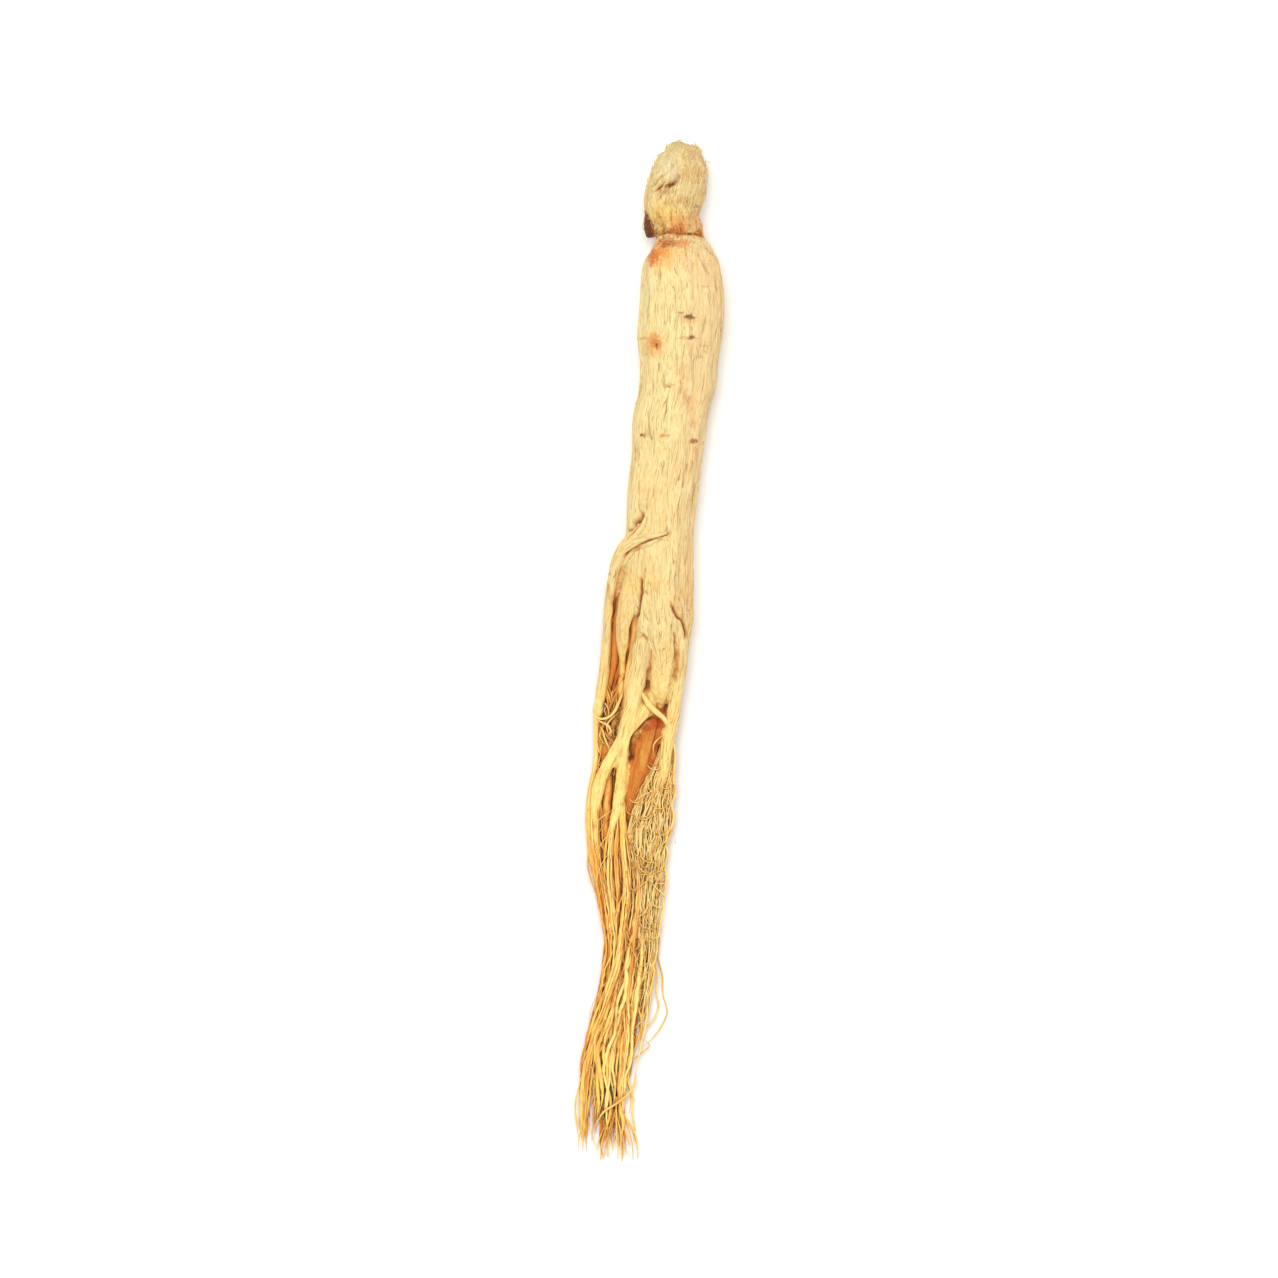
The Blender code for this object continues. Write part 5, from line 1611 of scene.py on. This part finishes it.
def lane_route(draw, outline, start, end, origin, lane, level, radius, wave):
    """Rows of a rootlet that leaves its carrier and settles into its own lane of an outline."""
    along = np.linspace(start, end, max(8, round((start - end) / ROOTLET_SPACING)))
    left, right, low, high = smooth_through(outline[:, 0], outline[:, 1:], along).T
    phase = draw.uniform(*NOISE_PHASES)
    sway = wavering(phase, along, SWAY_LENGTH, 0.0)
    shiver = wavering(phase + SHIVER_PHASE, along, SHIVER_LENGTH, 0.0)
    lanes = lane + LANE_SWAY * sway[:, 0] + wave * np.sin(along / WAVE_LENGTH + phase)
    x = left + np.clip(lanes, 0.0, 1.0) * (right - left) + SHIVER_ACROSS * shiver[:, 0]
    levels = np.clip(level + LEVEL_SWAY * sway[:, 1], 0.0, max(level, 1.0))
    z = low + levels * (high - low) + SHIVER_UP * shiver[:, 1]
    joined = smooth_step(start - along, 0.0, ROOTLET_JOINING_LENGTH)
    x = origin[0] + (x - origin[0]) * joined
    z = origin[2] + (z - origin[2]) * joined
    thick = radius * np.linspace(1.0, ROOTLET_THINNING, len(along))
    return np.column_stack((x, along, np.maximum(z, thick + ROOTLET_CLEARANCE), thick))


rootlet_draw = random.Random(ROOTLET_SEED)
rootlets = []
for carrier, how_many, starts, ends, across, levels, radii in ROOTLETS:
    for _ in range(how_many):
        rootlet_start = rootlet_draw.uniform(*starts)
        rootlet_end = rootlet_draw.uniform(*ends)
        rootlet_level = rootlet_draw.uniform(*levels)
        rootlet_lane = rootlet_draw.uniform(*across)
        rootlet_rows = lane_route(
            rootlet_draw,
            tail_outline,
            rootlet_start,
            min(rootlet_end, rootlet_start - SHORTEST_ROOTLET),
            carrier_at(carrier, rootlet_start),
            rootlet_lane,
            rootlet_level,
            rootlet_draw.uniform(*radii),
            rootlet_draw.uniform(0.0, ROOTLET_WAVE),
        )
        # A rootlet lower in the tail is given a deeper tone as painted shade
        rootlet_tone = LOW_ROOTLET_TONE - TOP_ROOTLET_LESS_SHADE * max(rootlet_level, 0.0)
        rootlet_tone += LEFT_ROOTLET_TONE * max(LEFT_SHARE - rootlet_lane, 0.0) / LEFT_SHARE
        rootlet_tone += rootlet_draw.uniform(*ROOTLET_TONE_SPREAD)
        is_thin = rootlet_rows[0, 3] < THICK_ROOTLET
        rootlet_taper = THIN_ROOTLET_START if is_thin else THICK_ROOTLET_START
        rootlets.append((tapered(rootlet_rows, rootlet_taper, ROOTLET_END), rootlet_tone))
for _ in range(GAP_ROOTLETS):
    gap_start = rootlet_draw.uniform(*GAP_STARTS)
    gap_level = rootlet_draw.uniform(0.0, 1.0)
    gap_rows = lane_route(
        rootlet_draw,
        gap_outline,
        gap_start,
        rootlet_draw.uniform(*GAP_ENDS),
        carrier_at("left_leg", gap_start),
        rootlet_draw.uniform(0.0, 1.0),
        gap_level,
        rootlet_draw.uniform(*GAP_RADII),
        GAP_WAVE,
    )
    # A rootlet lower in the gap is given a deeper tone as painted shade
    gap_tone = GAP_TONE - TOP_GAP_LESS_SHADE * gap_level + rootlet_draw.uniform(*GAP_TONE_SPREAD)
    rootlets.append((tapered(gap_rows, THIN_ROOTLET_START, ROOTLET_END), gap_tone))
combed = []
for _ in range(COMBED_COUNT):
    combed_carrier = carriers[rootlet_draw.choice(COMBED_CARRIERS)]
    combed_length = rootlet_draw.randrange(*COMBED_LENGTHS)
    combed_first = rootlet_draw.randrange(max(1, len(combed_carrier) - combed_length))
    combed_rows = combed_carrier[combed_first : combed_first + combed_length].copy()
    combed_side = rootlet_draw.uniform(-1.0, 1.0)
    combed_reach = np.sin(np.linspace(0.0, math.pi, len(combed_rows)))
    combed_rows[:, 0] += combed_side * (COMBED_SIDE + COMBED_SIDE_MIDDLE * combed_reach)
    combed_rows[:, 2] += (1.0 - abs(combed_side)) * combed_rows[:, 3] + COMBED_RISE * combed_reach
    combed_rows[:, 3] = rootlet_draw.uniform(*COMBED_RADII)
    if combed_rows[0, 1] < COMBED_BELOW:
        combed.append((tapered(combed_rows, *COMBED_TAPER), rootlet_draw.uniform(*COMBED_TONES)))
for number in range(FAN_FIBRES):
    fan_share = (number + 0.5) / FAN_FIBRES
    fan_along = np.linspace(FAN_START, rootlet_draw.uniform(*FAN_ENDS), FAN_POINTS)
    fan_bend = smooth_step(-fan_along, *FAN_SPREAD)
    fan_x = FAN_MIDDLE + rootlet_draw.uniform(-FAN_STRAY, FAN_STRAY)
    fan_x = fan_x + (fan_share - 0.5) * FAN_WIDTH * fan_bend
    fan_x += rootlet_draw.uniform(-FAN_BOW, FAN_BOW) * np.sin(fan_bend * math.pi)
    fan_radius = rootlet_draw.uniform(*FAN_RADII) * np.linspace(1.0, FAN_THINNING, FAN_POINTS)
    fan_z = np.full(FAN_POINTS, FAN_LOWEST + FAN_HEIGHT * rootlet_draw.random())
    fan_rows = np.column_stack((fan_x, fan_along, fan_z, fan_radius))
    combed.append((fan_rows, rootlet_draw.uniform(*FAN_TONES)))
rootlet_material = make_root_material("golden_rootlet_skin", [], 0.3, 0.5, 0.4, 1.05, 0.9, 0.08)
for name, lines, sides in [("rootlets", rootlets, 8), ("combed_rootlets", combed, 6)]:
    rootlet_piece = strand_lines(name, lines)
    run_nodes(
        rootlet_piece,
        grown_strand,
        {
            "Spacing": 0.95,
            "Sides": sides,
            "Wander": 0.5,
            "Wander Length": 5.0,
            "Knobs": 0.5,
            "Knob Length": 2.0,
            "Furrow Cell": 0.5,
            "Furrow Depth": 0.06,
            "Material": rootlet_material,
        },
    )
    root_pieces.append(rootlet_piece)


# Net of fine fibres. On the right of the tail the real root frays into fibres as thin as thread that
# weave over one another and leave small gaps.

# Outline of the net: along Y, left edge, right edge, lowest and highest middle
NET = [
    (-18.0, 4.0, 7.2, 4.8, 6.6),
    (-24.0, 3.0, 6.6, 4.7, 6.8),
    (-28.0, 2.0, 6.3, 4.6, 7.0),
    (-32.0, 0.2, 6.2, 4.5, 7.1),
    (-38.0, -2.9, 6.1, 4.3, 7.2),
    (-44.0, -5.2, 5.8, 4.0, 6.8),
    (-50.0, -6.8, 5.2, 3.7, 6.4),
    (-58.0, -7.0, 3.8, 3.4, 6.1),
    (-68.0, -6.2, 2.7, 3.1, 5.7),
    (-80.0, -5.2, 1.6, 2.8, 5.2),
    (-94.0, -5.4, 0.4, 2.4, 4.6),
    (-108.0, -6.8, -1.4, 2.0, 4.0),
]
NET_LANES = 28
NET_LAYERS = 8
NET_GAP_LENGTH = 3.6
NET_SEED = 5
# Where along Y the fibres start, in the lowest layer and every second one above it, then in the others
NET_STARTS = [(-22.0, -56.0), (-18.0, -26.0)]
NET_LENGTHS = (34.0, 80.0)
NET_END = -107.0
NET_SPACING = 0.8
# Neighbours in a layer pull together and apart. Each fibre also strays by this many lanes, in waves
# of the length that follows
NET_PULL = 0.5
NET_LAYER_SHIFT = 1.9
NET_PULL_STRAY = 3.0
NET_SWAY, NET_SWAY_LENGTH = 3.6, 9.0
NET_DRIFT, NET_DRIFT_LENGTH = 6.0, 19.0
NET_CURL, NET_CURL_LENGTH = 1.4, 2.4
NET_SWAY_UP = 0.2
NET_CURL_UP = 0.35
# The net is crowned: this is how far round its arch it reaches to each side
NET_ARCH = 0.8
NET_RADII = (0.18, 0.36)
NET_THINNING = 0.7
NET_TAPER = (2.0, 6.0)
# Tone of the lowest fibres, how much paler the top ones are because they get less painted shade, and
# how far single ones differ
NET_TONE = 0.24
TOP_NET_LESS_SHADE = 0.26
NET_TONE_SPREAD = (-0.12, 0.1)

net_outline = np.array(NET)[::-1]
net_draw = random.Random(NET_SEED)
net_fibres = []
for layer in range(NET_LAYERS):
    net_level = layer / (NET_LAYERS - 1)
    for lane in range(NET_LANES):
        net_start = net_draw.uniform(*NET_STARTS[layer % 2])
        net_end = max(net_start - net_draw.uniform(*NET_LENGTHS), NET_END)
        net_along = np.linspace(net_start, net_end, round((net_start - net_end) / NET_SPACING))
        net_left, net_right, net_low, net_high = smooth_through(
            net_outline[:, 0], net_outline[:, 1:], net_along
        ).T
        net_phase = net_draw.uniform(*NOISE_PHASES)
        net_sway = wavering(net_phase, net_along, NET_SWAY_LENGTH, 2.0)
        net_drift = wavering(net_phase, net_along, NET_DRIFT_LENGTH, 7.0)
        net_curl = wavering(net_phase, net_along, NET_CURL_LENGTH, 4.0)
        net_turn = net_along * math.pi / NET_GAP_LENGTH + layer * NET_LAYER_SHIFT
        net_pull = np.cos(net_turn + NET_PULL_STRAY * net_sway[:, 1])
        net_weave = NET_PULL * (-1) ** lane * net_pull + NET_SWAY * net_sway[:, 0]
        net_weave += NET_DRIFT * net_drift[:, 0]
        net_weave += NET_CURL * net_curl[:, 0]
        net_weave = np.clip((lane + 0.5 + net_weave) / NET_LANES, 0.0, 1.0)
        net_x = net_left + net_weave * (net_right - net_left)
        net_crown = np.sqrt(1.0 - (2 * NET_ARCH * net_weave - NET_ARCH) ** 2)
        net_z = net_low + (net_high - net_low) * net_level * net_crown
        net_z += NET_SWAY_UP * net_sway[:, 2] + NET_CURL_UP * net_curl[:, 1]
        net_radius = net_draw.uniform(*NET_RADII) * np.linspace(1.0, NET_THINNING, len(net_along))
        net_rows = np.column_stack((net_x, net_along, net_z, net_radius))
        # A fibre lower in the net is given a deeper tone as painted shade
        net_tone = NET_TONE - TOP_NET_LESS_SHADE * net_level + net_draw.uniform(*NET_TONE_SPREAD)
        net_fibres.append((tapered(net_rows, *NET_TAPER), net_tone))
net_material = make_root_material("pale_fibre_skin", [], 0.2, 0.5, 0.4, 1.0, 0.5, 0.05, 0.35)
net_piece = strand_lines("fibre_net", net_fibres)
run_nodes(
    net_piece,
    grown_strand,
    {
        "Spacing": 0.85,
        "Sides": 5,
        "Wander": 0.25,
        "Wander Length": 3.2,
        "Knobs": 0.5,
        "Knob Length": 1.4,
        "Furrow Depth": 0.0,
        "Material": net_material,
    },
)
root_pieces.append(net_piece)


# Side hairs. Short curved hairs leave the strands and rootlets all down the tail, most of them pointing
# on down it; many of the real ones snapped off and left stubs.

HAIR_COUNT = 420
HAIR_SEED = 11
# They grow on the first strands, which are the legs and the two long rootlets, and on all rootlets,
# between these places along Y
HAIRY_STRANDS = 9
HAIR_START = -6.0
HAIR_END = -149.8
# Stubs and whole hairs, how far they differ, the angle in degrees to the side at which they leave,
# how far back they bend as a share of it, and how far they rise or sink for their length
HAIR_LENGTHS = (2.0, 3.5, 6.0, 11.0)
HAIR_LENGTH_SPREAD = (0.8, 1.4)
HAIR_ANGLES = (12.0, 60.0)
HAIR_BENDS = (0.3, 1.6)
HAIR_RISES = (-0.2, 0.35)
HAIR_ARCH = 1.2
HAIR_HEIGHTS = (0.3, 9.0)
HAIR_SPACING = 0.8
HAIR_RADII = (0.1, 0.2)
HAIR_THINNING = 0.5
HAIR_TONES = (0.25, 0.6)
# How far a hair may stand out at the side of the tail: most of them, and every twelfth
HAIR_REACH = 0.8
LONG_HAIR_REACH = 3.2
LONG_HAIR_EVERY = 12

# Short fibres matted over the upper half of the net and, every fourth, over the knot between the left
# legs, which lies between these places along Y
MATTED_FIBRES = 300
KNOT_EVERY = 4
KNOT_ALONG = (-9.0, -34.0)
KNOT_OUTSIDE = 1.0
KNOT_ABOVE = 0.8
MATTED_POINTS = 9
MATTED_ANGLE = 75.0
MATTED_CURL = 2.4
MATTED_LENGTHS = (2.4, 7.0)
# How far they may pass the tail's left and right edge, and how high they lie over what they mat
MATTED_PAST_LEFT = 1.2
MATTED_PAST_RIGHT = 0.4
MATTED_LIFT = 0.25
MATTED_RISE = 0.5
MATTED_RADII = (0.12, 0.22)
MATTED_THINNING = 0.7
MATTED_TONES = (0.0, 0.4)

hair_draw = random.Random(HAIR_SEED)
hair_carriers = [rows for rows, tone in strands[:HAIRY_STRANDS] + rootlets + combed]
hairs = []
for number in range(HAIR_COUNT):
    hair_carrier = hair_carriers[hair_draw.randrange(len(hair_carriers))]
    hair_root = hair_carrier[hair_draw.randrange(len(hair_carrier))]
    if hair_root[1] > HAIR_START:
        continue
    hair_length = hair_draw.choice(HAIR_LENGTHS) * hair_draw.uniform(*HAIR_LENGTH_SPREAD)
    hair_angle = math.radians(hair_draw.uniform(*HAIR_ANGLES)) * hair_draw.choice((-1.0, 1.0))
    hair_bend = -hair_angle * hair_draw.uniform(*HAIR_BENDS)
    hair_share = np.linspace(0.0, 1.0, max(5, round(hair_length / HAIR_SPACING)))
    hair_turn = hair_angle + hair_bend * hair_share
    hair_step = hair_length / (len(hair_share) - 1)
    hair_x = hair_root[0] + np.cumsum(np.sin(hair_turn)) * hair_step
    hair_y = hair_root[1] - np.cumsum(np.cos(hair_turn)) * hair_step
    hair_rise = hair_draw.uniform(*HAIR_RISES) * hair_length
    hair_z = hair_root[2] + hair_rise * hair_share * (HAIR_ARCH - hair_share)
    hair_left, hair_right = smooth_through(tail_outline[:, 0], tail_outline[:, 1:3], hair_y[-1:])[0]
    hair_reach = HAIR_REACH if number % LONG_HAIR_EVERY else LONG_HAIR_REACH
    if hair_y[-1] < HAIR_END or not hair_left - hair_reach < hair_x[-1] < hair_right + hair_reach:
        continue
    hair_z = np.clip(hair_z, *HAIR_HEIGHTS)
    hair_radius = hair_draw.uniform(*HAIR_RADII) * np.linspace(1.0, HAIR_THINNING, len(hair_share))
    hair_rows = np.column_stack((hair_x, hair_y, hair_z, hair_radius))
    hairs.append((hair_rows, hair_draw.uniform(*HAIR_TONES)))
for number in range(MATTED_FIBRES):
    matted_on = net_fibres[hair_draw.randrange(len(net_fibres) // 2, len(net_fibres))][0]
    matted_root = matted_on[hair_draw.randrange(len(matted_on))][:3]
    if number % KNOT_EVERY == 0:
        knot_y = hair_draw.uniform(*KNOT_ALONG)
        knot_left, knot_right, knot_low, knot_high = smooth_through(
            gap_outline[:, 0], gap_outline[:, 1:], np.array([knot_y])
        )[0]
        knot_x = hair_draw.uniform(knot_left - KNOT_OUTSIDE, knot_right + KNOT_OUTSIDE)
        matted_root = np.array((knot_x, knot_y, knot_high + hair_draw.uniform(0.0, KNOT_ABOVE)))
    matted_share = np.linspace(0.0, 1.0, MATTED_POINTS)
    matted_angle = math.radians(hair_draw.uniform(-MATTED_ANGLE, MATTED_ANGLE))
    matted_turn = matted_angle + matted_share * hair_draw.uniform(-MATTED_CURL, MATTED_CURL)
    matted_step = hair_draw.uniform(*MATTED_LENGTHS) / (MATTED_POINTS - 1)
    matted_x = matted_root[0] + np.cumsum(np.sin(matted_turn)) * matted_step
    matted_y = matted_root[1] - np.cumsum(np.cos(matted_turn)) * matted_step
    matted_left, matted_right = smooth_through(tail_outline[:, 0], tail_outline[:, 1:3], matted_y).T
    past_left = matted_x < matted_left - MATTED_PAST_LEFT
    past_right = matted_x > matted_right + MATTED_PAST_RIGHT
    if np.any(past_left) or np.any(past_right):
        continue
    matted_z = matted_root[2] + MATTED_LIFT + MATTED_RISE * np.sin(matted_share * math.pi)
    matted_radius = hair_draw.uniform(*MATTED_RADII) * np.linspace(1.0, MATTED_THINNING, MATTED_POINTS)
    matted_rows = np.column_stack((matted_x, matted_y, matted_z, matted_radius))
    hairs.append((matted_rows, hair_draw.uniform(*MATTED_TONES)))
hair_piece = strand_lines("side_hairs", hairs)
run_nodes(
    hair_piece,
    grown_strand,
    {
        "Spacing": 1.1,
        "Sides": 4,
        "Wander": 0.3,
        "Wander Length": 3.0,
        "Knobs": 0.4,
        "Knob Length": 1.0,
        "Furrow Depth": 0.0,
        "Material": rootlet_material,
    },
)
root_pieces.append(hair_piece)


# Painted shade between the parts of the root. Every point stores how far its neighbours close it in,
# and the skin colours paint the hollows between legs and rootlets with a warm shade, darker in the deepest.

# How far it looks for neighbours, how far off the skin it starts, and how often the shade is softened
SHELTER_REACH = 5.0
SHELTER_START = 0.12
SHELTER_SOFTENING = 2


def make_painted_shade():
    """Stores on each point the share of directions in which the root itself is close, to be painted as
    shade.
    """
    tree, given, result = new_tree(
        "closed_in",
        "GeometryNodeTree",
        [
            ("Geometry", "Geometry", None),
            ("Neighbours", "Object", None),
            ("Reach", "Float", SHELTER_REACH),
            ("Start", "Float", SHELTER_START),
        ],
        [("Geometry", "Geometry")],
    )
    around = add_node(tree, "GeometryNodeObjectInfo", {"Object": given["Neighbours"]}).outputs["Geometry"]
    normal = tree.nodes.new("GeometryNodeInputNormal").outputs[0]
    start = maths(tree, "MULTIPLY", given["Start"], MM)
    origin = vector_maths(tree, "ADD", position(tree), scaled(tree, normal, start))
    reach = maths(tree, "MULTIPLY", given["Reach"], MM)
    closed = 0.0
    total = 0.0
    steps = [(x, y, z) for x in (-1, 0, 1) for y in (-1, 0, 1) for z in (-1, 0, 1)]
    steps.remove((0, 0, 0))
    for step in steps:
        direction = tuple(Vector(step).normalized())
        facing = add_node(
            tree, "ShaderNodeVectorMath", {0: normal, 1: direction}, operation="DOT_PRODUCT"
        ).outputs["Value"]
        weight = maths(tree, "MAXIMUM", facing, 0.0)
        ray = add_node(
            tree,
            "GeometryNodeRaycast",
            {
                "Target Geometry": around,
                "Source Position": origin,
                "Ray Direction": direction,
                "Ray Length": reach,
            },
        )
        closed = maths(tree, "ADD", closed, maths(tree, "MULTIPLY", ray.outputs["Is Hit"], weight))
        total = maths(tree, "ADD", total, weight)
    share = maths(tree, "DIVIDE", closed, total)
    softened = add_node(tree, "GeometryNodeBlurAttribute", {"Value": share, "Iterations": SHELTER_SOFTENING})
    geometry = store(tree, given["Geometry"], "shelter", softened.outputs["Value"])
    tree.links.new(geometry, result["Geometry"])
    return tree


def close_in(pieces):
    """Stores the shade from all the pieces on each of them."""
    joiner = bmesh.new()
    for piece in pieces:
        joiner.from_mesh(piece.data)
    together = bpy.data.meshes.new("neighbours")
    joiner.to_mesh(together)
    joiner.free()
    neighbours = bpy.data.objects.new("neighbours", together)
    bpy.context.scene.collection.objects.link(neighbours)
    tree = make_painted_shade()
    for piece in pieces:
        run_nodes(piece, tree, {"Neighbours": neighbours})
    bpy.data.objects.remove(neighbours)
    bpy.data.meshes.remove(together)


close_in(root_pieces)
for root_piece in root_pieces:
    finish_piece(root_piece)


# Floor, light and camera. A pale table with a large soft light over it, seen straight from above.

FLOOR_SIZE = 3.0
# The floor lies this far under the root, so that the two don't share a surface
FLOOR_GAP = 0.0002
FLOOR_COLOUR = (0.92, 0.92, 0.92, 1.0)
FLOOR_ROUGHNESS = 0.9
ROOM_LIGHT = 0.76
LIGHT_PLACE = (-0.08, 0.3, 1.07)
LIGHT_SIZE = 0.6
LIGHT_POWER = 8.4
LIGHT_COLOUR = (1.0, 0.985, 0.96)
CAMERA_PLACE = (-0.0038, 0.0055, 2.01)
CAMERA_LENS = 191.0
CAMERA_SENSOR = 36.0

floor_mesh = bpy.data.meshes.new("floor")
half_floor = FLOOR_SIZE / 2
floor_mesh.from_pydata(
    [
        (-half_floor, -half_floor, 0.0),
        (half_floor, -half_floor, 0.0),
        (half_floor, half_floor, 0.0),
        (-half_floor, half_floor, 0.0),
    ],
    [],
    [(0, 1, 2, 3)],
)
floor = bpy.data.objects.new("floor", floor_mesh)
bpy.context.scene.collection.objects.link(floor)
floor.location.z = -FLOOR_GAP
floor_material = bpy.data.materials.new("white_table")
floor_material.use_nodes = True
table_top = floor_material.node_tree.nodes["Principled BSDF"]
table_top.inputs["Base Color"].default_value = FLOOR_COLOUR
table_top.inputs["Roughness"].default_value = FLOOR_ROUGHNESS
floor.data.materials.append(floor_material)

world = bpy.data.worlds.new("studio")
world.use_nodes = True
world.node_tree.nodes["Background"].inputs["Color"].default_value = (1.0, 1.0, 1.0, 1.0)
world.node_tree.nodes["Background"].inputs["Strength"].default_value = ROOM_LIGHT
bpy.context.scene.world = world

lamp_data = bpy.data.lights.new("large_soft_light", "AREA")
lamp_data.size = LIGHT_SIZE
lamp_data.energy = LIGHT_POWER
lamp_data.color = LIGHT_COLOUR
lamp = bpy.data.objects.new("large_soft_light", lamp_data)
lamp.location = LIGHT_PLACE
lamp.rotation_euler = (-Vector(LIGHT_PLACE)).to_track_quat("-Z", "Y").to_euler()
bpy.context.scene.collection.objects.link(lamp)

camera_data = bpy.data.cameras.new("camera")
camera_data.lens = CAMERA_LENS
camera_data.sensor_width = CAMERA_SENSOR
camera = bpy.data.objects.new("camera", camera_data)
camera.location = CAMERA_PLACE
bpy.context.scene.collection.objects.link(camera)
bpy.context.scene.camera = camera
bpy.context.scene.view_settings.view_transform = "Standard"
